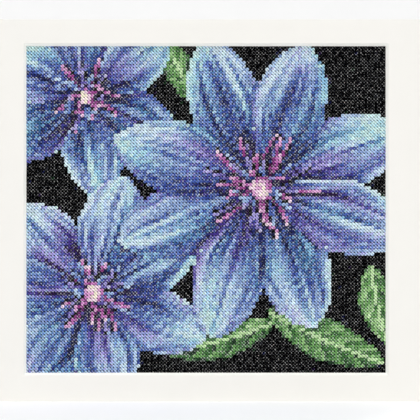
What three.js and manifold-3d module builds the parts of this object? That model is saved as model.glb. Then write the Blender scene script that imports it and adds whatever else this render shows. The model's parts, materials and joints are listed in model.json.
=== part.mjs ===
// A flower picture in counted cross stitch, laced over a board and set behind a bevelled window mount.
// Millimetres, +Z up. The picture stands upright and faces -Y. The origin is the middle of its lower edge.

import * as THREE from 'three';
import { mergeVertices } from 'three/addons/utils/BufferGeometryUtils.js';
import Module from 'manifold-3d';

const wasm = await Module();
wasm.setup();

// ---- Driving dimensions ----

const INCH = 25.4;
const COUNT = 14; // stitches to the inch
const COLUMNS = 110;
const ROWS = 100;
const STITCHED_WIDTH = (COLUMNS * INCH) / COUNT;
const STITCHED_HEIGHT = (ROWS * INCH) / COUNT;

const OUTER_WIDTH = 240;
const OUTER_HEIGHT = 210;
const WINDOW_RISE = 0.5; // the window sits this far above the middle, so the lower border is wider
const MIDDLE_Z = OUTER_HEIGHT / 2 + WINDOW_RISE;
const WINDOW_WIDTH = 197.5; // at the back of the mount, where the stitches show
const WINDOW_HEIGHT = 179.5;

const MOUNT_BOARD = 1.5;
const FOAM_BOARD = 5;
const STITCH_LAYER = 1;
const CLOTH = 0.5;
const LACING = 0.625;

const WELL_WIDTH = 216; // the space between the packing strips
const WELL_HEIGHT = 192;
const PANEL_CLEARANCE = 0.5; // around the wrapped panel in its well
const FLAP = 30; // the cloth turned over to the back

const TAPE_WIDTH_SIDE = 6;
const TAPE_WIDTH_END = 3.5;
const TAPE_LENGTH = 150;
const TAPE_INSET = 0.5; // from the panel's edge

const LACE_INSET = 8; // the lacing's stitches, from the flap's edge
const LACE_STEP = 12; // from one span of lacing to the next
const LACE_BITE = 4; // the cloth picked up at each turn
const UPRIGHT_SPANS = 16;
const LEVEL_SPANS = 14;

const MOTIF_GAP = 0.4; // between neighbouring areas of stitching
const OUTLINE_STEPS = 10; // points along each side of a petal
const EYE_STEPS = 36;
const LEAST_AREA = 14; // square millimetres: four stitches

// ---- Layers, from the front of the mount to its back ----

const DEPTH = MOUNT_BOARD + 2 * FOAM_BOARD;
const FRONT = -DEPTH / 2;
const MOUNT_BACK = FRONT + MOUNT_BOARD;
const CLOTH_FRONT = MOUNT_BACK + STITCH_LAYER;
const BOARD_FRONT = CLOTH_FRONT + CLOTH;
const BOARD_BACK = BOARD_FRONT + FOAM_BOARD;
const FLAP_BACK = BOARD_BACK + CLOTH;
const STRIP_SEAM = MOUNT_BACK + FOAM_BOARD;
const BACK = FRONT + DEPTH;

// ---- The design: three blossoms and four leaves, from the window's middle ----

const PETAL = { rise: 1.1, fall: 0.78, wave: 0.05, waves: 5 };
const LEAF = { rise: 0.8, fall: 0.8, wave: 0.05, waves: 5 };
const BLADE_TIP = 0.6; // the blunt ends of petals and leaves
const PETAL_START = 2; // from the blossom's middle
const PETAL_BEND = 0.05;
const PETAL_STRETCH = 0.03; // petals differ in length by this share of it
const PETAL_STRETCH_TURN = 2.4; // radians of its sine from one petal to the next
const EYE_TEETH = 9;
const EYE_TOOTH = 0.1;

const BLOSSOMS = [
  { name: 'large', x: 30, z: 12, petals: 8, first: -21, length: 83, width: 41, eye: 15, heart: 6, lead: 0 },
  { name: 'middle', x: -62, z: -46, petals: 7, first: 26, length: 63, width: 36, eye: 12, heart: 5, lead: 1 },
  { name: 'small', x: -66, z: 62, petals: 6, first: 35, length: 55, width: 33, eye: 10, heart: 4, lead: 0 },
];

const LEAVES = [
  { name: 'leaf_1', x: 34, z: -56, turn: -30, length: 70, width: 23, bend: 0.1 },
  { name: 'leaf_2', x: 38, z: -62, turn: 202, length: 64, width: 20, bend: -0.12 },
  { name: 'leaf_3', x: -6, z: 58, turn: 112, length: 42, width: 17, bend: 0.08 },
  { name: 'leaf_4', x: 91, z: -31, turn: -84, length: 44, width: 20, bend: 0.1 },
];

// ---- Materials ----

function material(color, roughness) {
  return new THREE.MeshStandardMaterial({ color, roughness, metalness: 0 });
}

const MOUNT_PAPER = material(0xf4f2ee, 0.9);
const FOAM = material(0xf2f1ec, 0.85);
const AIDA = material(0xefeade, 0.95);
const LACE_THREAD = material(0xe6dcc6, 0.8);
const TAPE = material(0xd9d4c8, 0.7);
const GROUND = material(0x101014, 0.75);
const LEAF_GREEN = material(0x6f9f62, 0.75);
const PLUM = material(0x8c4587, 0.75);
const PINK = material(0xdca0c4, 0.75);
const PETAL_BLUES = [material(0x7c96d6, 0.75), material(0x5770bd, 0.75)];

// ---- Shapes ----

function piece(name, geometry, look) {
  const mesh = new THREE.Mesh(geometry, look);
  mesh.name = name;
  return mesh;
}

function box(x0, x1, y0, y1, z0, z1) {
  const geometry = new THREE.BoxGeometry(x1 - x0, y1 - y0, z1 - z0);
  return geometry.translate((x0 + x1) / 2, (y0 + y1) / 2, (z0 + z1) / 2);
}

function centredBox(width, height, y0, y1) {
  return box(-width / 2, width / 2, y0, y1, MIDDLE_Z - height / 2, MIDDLE_Z + height / 2);
}

function solid(geometry) {
  const bare = geometry.clone();
  bare.deleteAttribute('normal');
  bare.deleteAttribute('uv');
  const merged = mergeVertices(bare);
  const vertProperties = new Float32Array(merged.attributes.position.array);
  const triVerts = new Uint32Array(merged.index.array);
  return new wasm.Manifold(new wasm.Mesh({ numProp: 3, vertProperties, triVerts }));
}

function geometryOf(body) {
  const mesh = body.getMesh();
  const geometry = new THREE.BufferGeometry();
  geometry.setAttribute('position', new THREE.BufferAttribute(mesh.vertProperties, mesh.numProp));
  geometry.setIndex(new THREE.BufferAttribute(mesh.triVerts, 1));
  return geometry;
}

// An outline in the picture's plane, its points [right, up] from the window's middle, made into a slab.
function slab(points, y0, y1) {
  const shape = new THREE.Shape(points.map(([right, up]) => new THREE.Vector2(right, up)));
  const geometry = new THREE.ExtrudeGeometry(shape, { depth: y1 - y0, bevelEnabled: false });
  geometry.rotateX(Math.PI / 2);
  return geometry.translate(0, y1, MIDDLE_Z);
}

// ---- The window mount ----

// A wedge-sided block: the window's opening, wider at the front by its 45 degree bevel.
function windowCut() {
  const spare = 1;
  const geometry = new THREE.BoxGeometry(1, 1, 1);
  const at = geometry.attributes.position;
  for (let i = 0; i < at.count; i += 1) {
    const isFront = at.getY(i) < 0;
    const grow = isFront ? MOUNT_BOARD + spare : -spare;
    const x = Math.sign(at.getX(i)) * (WINDOW_WIDTH / 2 + grow);
    const z = Math.sign(at.getZ(i)) * (WINDOW_HEIGHT / 2 + grow);
    at.setXYZ(i, x, isFront ? FRONT - spare : MOUNT_BACK + spare, MIDDLE_Z + z);
  }
  return geometry;
}

function windowMount() {
  const board = solid(box(-OUTER_WIDTH / 2, OUTER_WIDTH / 2, FRONT, MOUNT_BACK, 0, OUTER_HEIGHT));
  return piece('window_mount', geometryOf(board.subtract(solid(windowCut()))), MOUNT_PAPER);
}

// ---- The packing strips behind the mount, in two layers that lap each other at the corners ----

function packingStrips() {
  const half = OUTER_WIDTH / 2;
  const wellX = WELL_WIDTH / 2;
  const wellLow = MIDDLE_Z - WELL_HEIGHT / 2;
  const wellHigh = MIDDLE_Z + WELL_HEIGHT / 2;
  const strips = [];
  const layers = [
    { name: 'front_strip', y0: MOUNT_BACK, y1: STRIP_SEAM, reach: half, low: wellLow, high: wellHigh },
    { name: 'back_strip', y0: STRIP_SEAM, y1: BACK, reach: wellX, low: 0, high: OUTER_HEIGHT },
  ];
  for (const { name, y0, y1, reach, low, high } of layers) {
    strips.push(piece(`${name}_top`, box(-reach, reach, y0, y1, wellHigh, OUTER_HEIGHT), FOAM));
    strips.push(piece(`${name}_bottom`, box(-reach, reach, y0, y1, 0, wellLow), FOAM));
    strips.push(piece(`${name}_left`, box(-half, -wellX, y0, y1, low, high), FOAM));
    strips.push(piece(`${name}_right`, box(wellX, half, y0, y1, low, high), FOAM));
  }
  return strips;
}

// ---- The panel: cloth wrapped over a board, with its flaps laced together behind ----

const PANEL_WIDTH = WELL_WIDTH - 2 * PANEL_CLEARANCE;
const PANEL_HEIGHT = WELL_HEIGHT - 2 * PANEL_CLEARANCE;
const BOARD_WIDTH = PANEL_WIDTH - 2 * CLOTH;
const BOARD_HEIGHT = PANEL_HEIGHT - 2 * CLOTH;

function lacingBoard() {
  return piece('lacing_board', centredBox(BOARD_WIDTH, BOARD_HEIGHT, BOARD_FRONT, BOARD_BACK), FOAM);
}

function aidaCloth() {
  const wrapped = solid(centredBox(PANEL_WIDTH, PANEL_HEIGHT, CLOTH_FRONT, FLAP_BACK));
  const inside = solid(centredBox(BOARD_WIDTH, BOARD_HEIGHT, BOARD_FRONT, BOARD_BACK));
  const openWidth = PANEL_WIDTH - 2 * FLAP;
  const openHeight = PANEL_HEIGHT - 2 * FLAP;
  const open = centredBox(openWidth, openHeight, BOARD_FRONT, FLAP_BACK + CLOTH);
  return piece('aida_cloth', geometryOf(wrapped.subtract(inside).subtract(solid(open))), AIDA);
}

// The zigzag that a lacing thread takes between two flaps: along counts the spans, across joins the flaps.
function lacePath(spans, reach) {
  const path = [];
  const first = (-spans * LACE_STEP) / 2;
  for (let i = 0; i < spans; i += 1) {
    const side = i % 2 === 0 ? 1 : -1;
    const along = first + i * LACE_STEP;
    path.push([along, -side * reach]);
    path.push([along + LACE_STEP - LACE_BITE, side * reach]);
  }
  return path;
}

// Both sides of a path, half a thread away from it, as one closed outline.
function ribbon(path, width) {
  const left = [];
  const right = [];
  path.forEach((point, i) => {
    const before = path[Math.max(i - 1, 0)];
    const after = path[Math.min(i + 1, path.length - 1)];
    const arriving = direction(i === 0 ? point : before, i === 0 ? after : point);
    const leaving = direction(point, i === path.length - 1 ? point : after) ?? arriving;
    const mitre = [-(arriving[1] + leaving[1]), arriving[0] + leaving[0]];
    const squared = mitre[0] ** 2 + mitre[1] ** 2;
    const reach = width / squared;
    left.push([point[0] + mitre[0] * reach, point[1] + mitre[1] * reach]);
    right.push([point[0] - mitre[0] * reach, point[1] - mitre[1] * reach]);
  });
  return [...left, ...right.reverse()];
}

function direction(from, to) {
  const [right, up] = [to[0] - from[0], to[1] - from[1]];
  const length = Math.hypot(right, up);
  return length > 0 ? [right / length, up / length] : null;
}

function lacingThreads() {
  const inset = LACE_INSET - FLAP;
  const upright = lacePath(UPRIGHT_SPANS, PANEL_HEIGHT / 2 + inset);
  const level = lacePath(LEVEL_SPANS, PANEL_WIDTH / 2 + inset).map(([along, across]) => [across, along]);
  const overlay = FLAP_BACK + LACING;
  return [
    piece('lacing_upright', slab(ribbon(upright, LACING), FLAP_BACK, overlay), LACE_THREAD),
    piece('lacing_level', slab(ribbon(level, LACING), overlay, overlay + LACING), LACE_THREAD),
  ];
}

// Double-sided tape between the cloth's bare margin and the back of the mount.
function mountingTapes() {
  const halfX = PANEL_WIDTH / 2 - TAPE_INSET;
  const halfZ = PANEL_HEIGHT / 2 - TAPE_INSET;
  const run = TAPE_LENGTH / 2;
  const tape = (name, x0, x1, up0, up1) =>
    piece(name, box(x0, x1, MOUNT_BACK, CLOTH_FRONT, MIDDLE_Z + up0, MIDDLE_Z + up1), TAPE);
  return [
    tape('mounting_tape_left', -halfX, -halfX + TAPE_WIDTH_SIDE, -run, run),
    tape('mounting_tape_right', halfX - TAPE_WIDTH_SIDE, halfX, -run, run),
    tape('mounting_tape_top', -run, run, halfZ - TAPE_WIDTH_END, halfZ),
    tape('mounting_tape_bottom', -run, run, -halfZ, -halfZ + TAPE_WIDTH_END),
  ];
}

// ---- The stitching: each area of the design is a thin slab on the cloth ----

// Half the width of a petal or leaf at t, from 0 at its base to 1 at its tip.
function halfWidth(t, width, form) {
  const peak = form.rise / (form.rise + form.fall);
  const full = peak ** form.rise * (1 - peak) ** form.fall;
  const ripple = 1 + form.wave * Math.sin(form.waves * Math.PI * t);
  return ((width / 2) * t ** form.rise * (1 - t) ** form.fall * ripple) / full;
}

// The outline of a petal or leaf, all round wider by grow.
function bladeOutline({ x, z, turn, length, width, bend, start, form }, grow) {
  const angle = THREE.MathUtils.degToRad(turn);
  const along = [Math.cos(angle), Math.sin(angle)];
  const place = (t, off) => {
    const reach = start + t * length + (2 * t - 1) * grow;
    const aside = bend * length * t * t + off;
    return [x + along[0] * reach - along[1] * aside, z + along[1] * reach + along[0] * aside];
  };
  const rightSide = [];
  const leftSide = [];
  for (let i = 0; i <= OUTLINE_STEPS; i += 1) {
    const t = (1 - Math.cos((Math.PI * i) / OUTLINE_STEPS)) / 2;
    const off = Math.max(halfWidth(t, width, form), BLADE_TIP / 2) + grow;
    rightSide.push(place(t, -off));
    leftSide.unshift(place(t, off));
  }
  return [...rightSide, ...leftSide];
}

// The outline of a blossom's eye or heart: a disc with a toothed edge.
function eyeOutline({ x, z, radius, tooth }, grow) {
  const points = [];
  for (let i = 0; i < EYE_STEPS; i += 1) {
    const angle = (2 * Math.PI * i) / EYE_STEPS;
    const reach = radius * (1 + tooth * Math.cos(EYE_TEETH * angle)) + grow;
    points.push([x + Math.cos(angle) * reach, z + Math.sin(angle) * reach]);
  }
  return points;
}

// A blossom's areas, the ones that lie on top first: its heart, its eye, its front petals, those behind.
function blossomAreas({ name, x, z, petals, first, length, width, eye, heart, lead }) {
  const heartDisc = { x, z, radius: heart, tooth: 0 };
  const eyeDisc = { x, z, radius: eye, tooth: EYE_TOOTH };
  const areas = [
    { name: `${name}_heart`, look: PINK, outline: (grow) => eyeOutline(heartDisc, grow) },
    { name: `${name}_eye`, look: PLUM, outline: (grow) => eyeOutline(eyeDisc, grow) },
  ];
  for (const parity of [lead, 1 - lead]) {
    for (let k = parity; k < petals; k += 2) {
      const blade = {
        x,
        z,
        turn: first + (360 / petals) * k,
        length: length * (1 + PETAL_STRETCH * Math.sin(PETAL_STRETCH_TURN * k)),
        width,
        bend: k % 2 === 0 ? PETAL_BEND : -PETAL_BEND,
        start: PETAL_START,
        form: PETAL,
      };
      const look = PETAL_BLUES[parity === lead ? 0 : 1];
      const outline = (grow) => bladeOutline(blade, grow);
      areas.push({ name: `${name}_petal_${k + 1}`, look, outline });
    }
  }
  return areas;
}

function leafAreas() {
  return LEAVES.map((leaf) => {
    const blade = { ...leaf, start: 0, form: LEAF };
    return { name: leaf.name, look: LEAF_GREEN, outline: (grow) => bladeOutline(blade, grow) };
  });
}

// The connected bodies of a solid, the largest first.
function bodiesBySize(body) {
  return body.decompose().sort((a, b) => b.volume() - a.volume());
}

function stitching() {
  const cutter = (points) => solid(slab(points, MOUNT_BACK - STITCH_LAYER, CLOTH_FRONT + STITCH_LAYER));
  const pieces = [];
  let free = solid(centredBox(STITCHED_WIDTH, STITCHED_HEIGHT, MOUNT_BACK, CLOTH_FRONT));
  for (const { name, look, outline } of [...BLOSSOMS.flatMap(blossomAreas), ...leafAreas()]) {
    const [largest] = bodiesBySize(free.intersect(cutter(outline(0))));
    pieces.push(piece(`${name}_stitches`, geometryOf(largest), look));
    free = free.subtract(cutter(outline(MOTIF_GAP)));
  }
  const grounds = bodiesBySize(free).filter((body) => body.volume() > LEAST_AREA * STITCH_LAYER);
  grounds.forEach((body, i) => pieces.push(piece(`ground_${i + 1}_stitches`, geometryOf(body), GROUND)));
  return pieces;
}

// ---- The whole picture ----

const group = new THREE.Group();
group.add(windowMount());
group.add(...packingStrips());
group.add(lacingBoard(), aidaCloth());
group.add(...lacingThreads());
group.add(...mountingTapes());
group.add(...stitching());

export default group;
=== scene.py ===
"""A flower picture in counted cross stitch, laced over a board and set behind a bevelled window mount.

Metres, +Z up. The picture stands upright and faces -Y. The origin is the middle of its lower edge.
"""

import json
import logging
import math
from abc import ABC, abstractmethod
from dataclasses import dataclass, field, replace
from enum import Enum
from typing import Any, Callable

import bmesh
import bpy
import numpy as np
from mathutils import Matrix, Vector
from numpy.typing import ArrayLike

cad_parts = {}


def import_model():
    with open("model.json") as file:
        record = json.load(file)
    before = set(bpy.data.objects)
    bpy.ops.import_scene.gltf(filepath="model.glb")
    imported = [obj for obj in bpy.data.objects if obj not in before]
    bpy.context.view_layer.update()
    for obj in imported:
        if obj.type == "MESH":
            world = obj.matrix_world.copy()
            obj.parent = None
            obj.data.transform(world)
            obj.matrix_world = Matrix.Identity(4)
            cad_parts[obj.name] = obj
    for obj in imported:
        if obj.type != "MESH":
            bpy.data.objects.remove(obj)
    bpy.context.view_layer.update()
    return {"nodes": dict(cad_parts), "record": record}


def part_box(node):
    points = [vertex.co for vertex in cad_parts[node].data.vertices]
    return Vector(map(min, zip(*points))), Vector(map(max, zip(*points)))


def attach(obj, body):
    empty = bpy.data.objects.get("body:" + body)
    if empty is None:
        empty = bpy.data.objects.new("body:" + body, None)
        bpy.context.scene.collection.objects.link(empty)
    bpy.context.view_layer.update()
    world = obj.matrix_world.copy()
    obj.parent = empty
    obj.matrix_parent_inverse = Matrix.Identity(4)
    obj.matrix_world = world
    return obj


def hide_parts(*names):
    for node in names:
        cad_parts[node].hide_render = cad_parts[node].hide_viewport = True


LOG = logging.getLogger("picture")

MM = 0.001
INCH = 25.4 * MM
COUNT = 14  # stitches to the inch
PITCH = INCH / COUNT
COLUMNS = 110
ROWS = 100
ROOT = "root"
WELD = 0.0001 * MM


# ---- The shade card ----


def colour(code: str) -> tuple[float, ...]:
    """Turns a daylight colour into linear light.

    Args:
        code: Its red, green and blue bytes, in hexadecimal.

    Returns:
        Its red, green and blue, from 0 to 1, and a 1 for opaque.
    """
    parts = [int(code[i : i + 2], 16) / 255 for i in (0, 2, 4)]
    linear = [p / 12.92 if p <= 0.04045 else ((p + 0.055) / 1.055) ** 2.4 for p in parts]
    return (*linear, 1.0)


class Shade(Enum):
    """The skeins of cotton on the shade card, with their daylight colours as red, green and blue bytes."""

    BLACK = "040405"
    CHARCOAL = "2b2c34"
    MIDNIGHT = "1a1f47"
    NAVY = "242e70"
    ROYAL = "364a98"
    COBALT = "4b64b0"
    HYACINTH = "6883c4"
    BLUEBELL = "87a1cf"
    SKY = "a4bde0"
    PALE_SKY = "b9d0ea"
    ICE = "d0e2ec"
    SLATE = "3d4866"
    STONE = "5c72a5"
    PEWTER = "849cca"
    CLOUD = "a9c1e1"
    MIST = "c6d7e7"
    AUBERGINE = "2a1742"
    GRAPE = "46358a"
    IRIS = "6559a8"
    AMETHYST = "887ec2"
    LILAC = "a9a0dc"
    PALE_LILAC = "c5c1e7"
    TEAL = "3c6a98"
    LAGOON = "6a9bc2"
    AQUA = "90bedb"
    PALE_AQUA = "aed7e2"
    FROST = "c6e2e1"
    WINE = "451440"
    PLUM = "6e2f6c"
    MAGENTA = "9c4690"
    ORCHID = "c277b8"
    ROSE = "dda8d2"
    BLUSH = "efd6e4"
    FOREST = "1f3a25"
    FERN = "44743f"
    MEADOW = "6c9f5c"
    APPLE = "97c182"
    PISTACHIO = "c2dfab"
    CREAM = "efe8d2"

    @property
    def linear(self) -> tuple[float, ...]:
        """The colour in linear light."""
        return colour(self.value)[:3]


SHADES = tuple(Shade)
BLUES = (
    Shade.MIDNIGHT,
    Shade.NAVY,
    Shade.ROYAL,
    Shade.COBALT,
    Shade.HYACINTH,
    Shade.BLUEBELL,
    Shade.SKY,
    Shade.PALE_SKY,
    Shade.ICE,
)
VIOLETS = (Shade.AUBERGINE, Shade.GRAPE, Shade.IRIS, Shade.AMETHYST, Shade.LILAC, Shade.PALE_LILAC)
SLATES = (Shade.MIDNIGHT, Shade.SLATE, Shade.STONE, Shade.PEWTER, Shade.CLOUD, Shade.MIST)
AQUAS = (Shade.NAVY, Shade.TEAL, Shade.LAGOON, Shade.AQUA, Shade.PALE_AQUA, Shade.FROST)
ROSES = (Shade.WINE, Shade.PLUM, Shade.MAGENTA, Shade.ORCHID, Shade.ROSE, Shade.BLUSH)
HEARTS = (Shade.PLUM, Shade.MAGENTA, Shade.ORCHID, Shade.ROSE, Shade.BLUSH, Shade.CREAM)
GREENS = (Shade.FOREST, Shade.FERN, Shade.MEADOW, Shade.APPLE, Shade.PISTACHIO)
DUSKS = (Shade.MIDNIGHT, Shade.AUBERGINE, Shade.NAVY, Shade.GRAPE, Shade.ROYAL, Shade.IRIS, Shade.HYACINTH)
SHADOWS = (Shade.BLACK, Shade.MIDNIGHT, Shade.AUBERGINE)
DIMS = (Shade.CHARCOAL, Shade.MIDNIGHT, Shade.AUBERGINE, Shade.FOREST)
GLINTS = (Shade.PALE_SKY, Shade.ICE, Shade.FROST)


def pick(ramp: tuple[Shade, ...], tone: np.ndarray) -> np.ndarray:
    """Picks each tone's shade, as its number on the card, from a ramp that runs from dark to light."""
    codes = np.array([SHADES.index(shade) for shade in ramp])
    return codes[np.clip((tone * len(ramp)).astype(int), 0, len(ramp) - 1)]


class Grain:
    """Smooth random unevenness over a plane, from -1 to 1, the same for the same seed."""

    CELLS = 64

    def __init__(self, seed: int) -> None:
        """Draws the values at the lattice's points from a seed."""
        self.lattice = np.random.default_rng(seed).uniform(-1, 1, (self.CELLS, self.CELLS))

    def at(self, across: np.ndarray, along: np.ndarray, patch: tuple[int, int] = (0, 0)) -> np.ndarray:
        """Reads the unevenness between the lattice's points.

        Args:
            across: Places on the first axis, in cells.
            along: Places on the second axis, in cells.
            patch: The cell where the reading starts, so that two readings differ.

        Returns:
            The value at each place.
        """
        across, along = across + patch[0], along + patch[1]
        i = np.floor(across).astype(int)
        j = np.floor(along).astype(int)
        u = self.ease(across - i)
        v = self.ease(along - j)
        near = self.corner(i, j) * (1 - u) + self.corner(i + 1, j) * u
        far = self.corner(i, j + 1) * (1 - u) + self.corner(i + 1, j + 1) * u
        return near * (1 - v) + far * v

    def corner(self, i: np.ndarray, j: np.ndarray) -> np.ndarray:
        """Gives the lattice's values at some of its points. Past its edge they repeat."""
        return self.lattice[i % self.CELLS, j % self.CELLS]

    @staticmethod
    def ease(share: np.ndarray) -> np.ndarray:
        """Bends a share from 0 to 1 so that it starts and ends gently."""
        return share * share * (3 - 2 * share)


def ridge(place: np.ndarray, middle: float | np.ndarray, width: float) -> np.ndarray:
    """Gives a smooth ridge: 1 at its middle, and about a third of that a width away."""
    return np.exp(-(((place - middle) / width) ** 2))


# ---- The design: three blossoms and four leaves, in millimetres from the window's middle ----


@dataclass(frozen=True)
class Form:
    """How a petal or leaf widens and narrows from its base to its tip."""

    rise: float
    fall: float
    wave: float = 0.05
    waves: int = 5

    def share(self, t: np.ndarray) -> np.ndarray:
        """Gives the width along the petal or leaf.

        Args:
            t: The place along it, from 0 at the base to 1 at the tip.

        Returns:
            The width there, as a share of the widest.
        """
        t = np.clip(t, 0, 1)
        peak = self.rise / (self.rise + self.fall)
        full = peak**self.rise * (1 - peak) ** self.fall
        ripple = 1 + self.wave * np.sin(self.waves * math.pi * t)
        return t**self.rise * (1 - t) ** self.fall * ripple / full


@dataclass(frozen=True)
class Blade:
    """A petal or a leaf: a curved shape from its base out to its tip."""

    name: str
    x: float
    z: float
    turn: float
    length: float
    width: float
    bend: float
    form: Form
    start: float = 0.0

    LEAST_HALF_WIDTH = 1.5

    @property
    def ahead(self) -> np.ndarray:
        """The direction from base to tip."""
        return np.array([math.cos(math.radians(self.turn)), math.sin(math.radians(self.turn))])

    @property
    def aside(self) -> np.ndarray:
        """The direction to the blade's left."""
        return np.array([-self.ahead[1], self.ahead[0]])

    def place(self, x: np.ndarray, z: np.ndarray) -> tuple[np.ndarray, np.ndarray]:
        """Turns places in the picture into places on the blade.

        Args:
            x: Places across the picture.
            z: Places up the picture.

        Returns:
            How far along the blade, from 0 to 1, and how far across it, from -1 to 1.
        """
        dx, dz = x - self.x, z - self.z
        t = (dx * self.ahead[0] + dz * self.ahead[1] - self.start) / self.length
        off = dx * self.aside[0] + dz * self.aside[1] - self.bend * self.length * np.clip(t, 0, 1) ** 2
        half = np.maximum(self.width / 2 * self.form.share(t), self.LEAST_HALF_WIDTH)
        return np.clip(t, 0, 1), np.clip(off / half, -1, 1)


@dataclass(frozen=True)
class Filaments:
    """A ring of filaments in a blossom's eye, its lengths as shares of the eye's radius."""

    share: float
    start: float
    shortest: float
    longest: float
    half_width: float


FILAMENTS = (
    Filaments(share=1.0, start=0.45, shortest=1.25, longest=2.3, half_width=1.0),
    Filaments(share=0.9, start=0.30, shortest=0.90, longest=1.5, half_width=1.3),
    Filaments(share=0.6, start=0.20, shortest=0.60, longest=0.95, half_width=1.6),
)


@dataclass(frozen=True)
class Blossom:
    """A blossom: a heart in an eye, with a ring of petals round it."""

    name: str
    x: float
    z: float
    petals: int
    first: float
    length: float
    width: float
    eye: float
    heart: float
    lead: int
    filaments: int
    violet: float

    FORM = Form(1.1, 0.78)
    START = 2.0
    BEND = 0.05
    STRETCH = 0.03
    STRETCH_TURN = 2.4

    def blades(self) -> list[Blade]:
        """Lays out the blossom's petals.

        Returns:
            The petals, in the order in which they stand round it.
        """
        return [
            Blade(
                name=f"{self.name}_petal_{k + 1}",
                x=self.x,
                z=self.z,
                turn=self.first + 360 / self.petals * k,
                length=self.length * (1 + self.STRETCH * math.sin(self.STRETCH_TURN * k)),
                width=self.width,
                bend=self.BEND if k % 2 == 0 else -self.BEND,
                form=self.FORM,
                start=self.START,
            )
            for k in range(self.petals)
        ]


BLOSSOMS = (
    Blossom("large", 30, 12, 8, -21, 83, 41, 15, 6, lead=0, filaments=22, violet=0.0),
    Blossom("middle", -62, -46, 7, 26, 63, 36, 12, 5, lead=1, filaments=18, violet=0.15),
    Blossom("small", -66, 62, 6, 35, 55, 33, 10, 4, lead=0, filaments=15, violet=-0.1),
)
LEAF_FORM = Form(0.8, 0.8)
LEAVES = (
    Blade("leaf_1", 34, -56, -30, 70, 23, 0.1, LEAF_FORM),
    Blade("leaf_2", 38, -62, 202, 64, 20, -0.12, LEAF_FORM),
    Blade("leaf_3", -6, 58, 112, 42, 17, 0.08, LEAF_FORM),
    Blade("leaf_4", 91, -31, -84, 44, 20, 0.1, LEAF_FORM),
)


@dataclass(frozen=True)
class PetalTones:
    """What lightens or darkens a petal, from 0, the darkest shade, to 1, the palest.

    Its places are shares of the petal's length and of half its width, and its cells are those of its grain.
    """

    foot: float = 0.10
    outward: float = 0.74
    outward_bow: float = 0.8
    lanes: float = 0.23
    lane_width: float = 2.5  # millimetres
    lane_cells: float = 2.6
    streaks: float = 0.23
    streak_width: float = 1.2  # millimetres
    streak_cells: float = 4.6
    clouds: float = 0.17
    cloud_cells: tuple[float, float] = (1.9, 1.8)
    side_light: float = 0.14
    end_light: float = 0.10
    end_light_from: float = 0.45
    rib: float = 0.22
    rib_place: float = 0.03
    rib_end: float = 0.85
    ridge: float = 0.05
    ridge_place: float = -0.12
    line_width: float = 0.07
    fold: float = 0.20
    fold_places: tuple[float, float] = (-0.55, 0.48)
    fold_foot: float = 0.7
    fold_spread: float = 0.5
    fold_width: float = 0.08
    fold_end: float = 1.1
    ripple: float = 0.05
    ripples: float = 4.2
    ripple_slant: float = 0.8
    lip: float = 0.12
    lip_side: float = 0.84
    lip_tip: float = 0.94
    lip_foot: float = 0.3
    lit_shadow: float = 0.1
    glints: float = 0.06
    shadow: float = 0.60
    speck: float = 0.05
    fleck: float = 0.10


@dataclass(frozen=True)
class PetalHues:
    """Where a petal turns from violet through blue to aqua, on a scale that rises towards its tip."""

    foot: float = -0.55
    outward: float = 0.95
    clouds: float = 0.75
    cells: float = 2.2
    fleck: float = 0.25
    lift: float = 0.17
    violet: float = -0.55
    aqua: float = 0.64
    violet_beside: float = -0.20
    aqua_beside: float = 0.30
    slate_beside: float = 0.05
    slate_reach: float = 0.09
    violet_tone: float = 0.04


@dataclass(frozen=True)
class PatchTones:
    """What makes up the tone of a patch: its middle, its grain, and each stitch's own difference."""

    seed: int
    middle: float
    grain: float
    speck: float
    fleck: float
    rim: float = 0.0


@dataclass(frozen=True)
class FilamentTones:
    """How a filament stands and turns from dark to pale, with places across it in its half widths."""

    seed: int = 1000
    sway: float = 0.35  # from its even place, in shares of the gap
    bow: float = 0.25  # radians at its tip
    foot: float = 0.10
    upward: float = 0.74
    upward_bow: float = 1.4
    shadow_place: float = 1.5
    shadow_half_width: float = 0.7
    speck: float = 0.10
    fleck: float = 0.12


@dataclass(frozen=True)
class LeafTones:
    """What lightens or darkens a leaf, with places as shares of half its width."""

    seed: int = 200
    middle: float = 0.30
    pleat: float = 0.42
    pleat_length: float = 10.5  # millimetres from one vein to the next
    vein_slant: float = 1.1  # pleats from the rib out to the edge
    side_light: float = 0.14
    grain: float = 0.12
    grain_width: float = 3.0  # millimetres
    grain_cells: float = 3.0
    rib: float = 0.92
    rib_half_width: float = 1.0  # millimetres
    least_share: float = 0.2  # of the leaf's width, which keeps the rib narrow at its ends
    edge: float = 0.20
    edge_place: float = 0.88
    shadow: float = 0.60
    speck: float = 0.06
    fleck: float = 0.10


PETAL_TONES = PetalTones()
PETAL_HUES = PetalHues()
FILAMENT_TONES = FilamentTones()
LEAF_TONES = LeafTones()
EYE_TONES = PatchTones(seed=400, middle=0.42, grain=0.34, speck=0.18, fleck=0.12)
HEART_TONES = PatchTones(seed=500, middle=0.90, grain=0.28, speck=0.20, fleck=0.10, rim=0.52)


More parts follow.
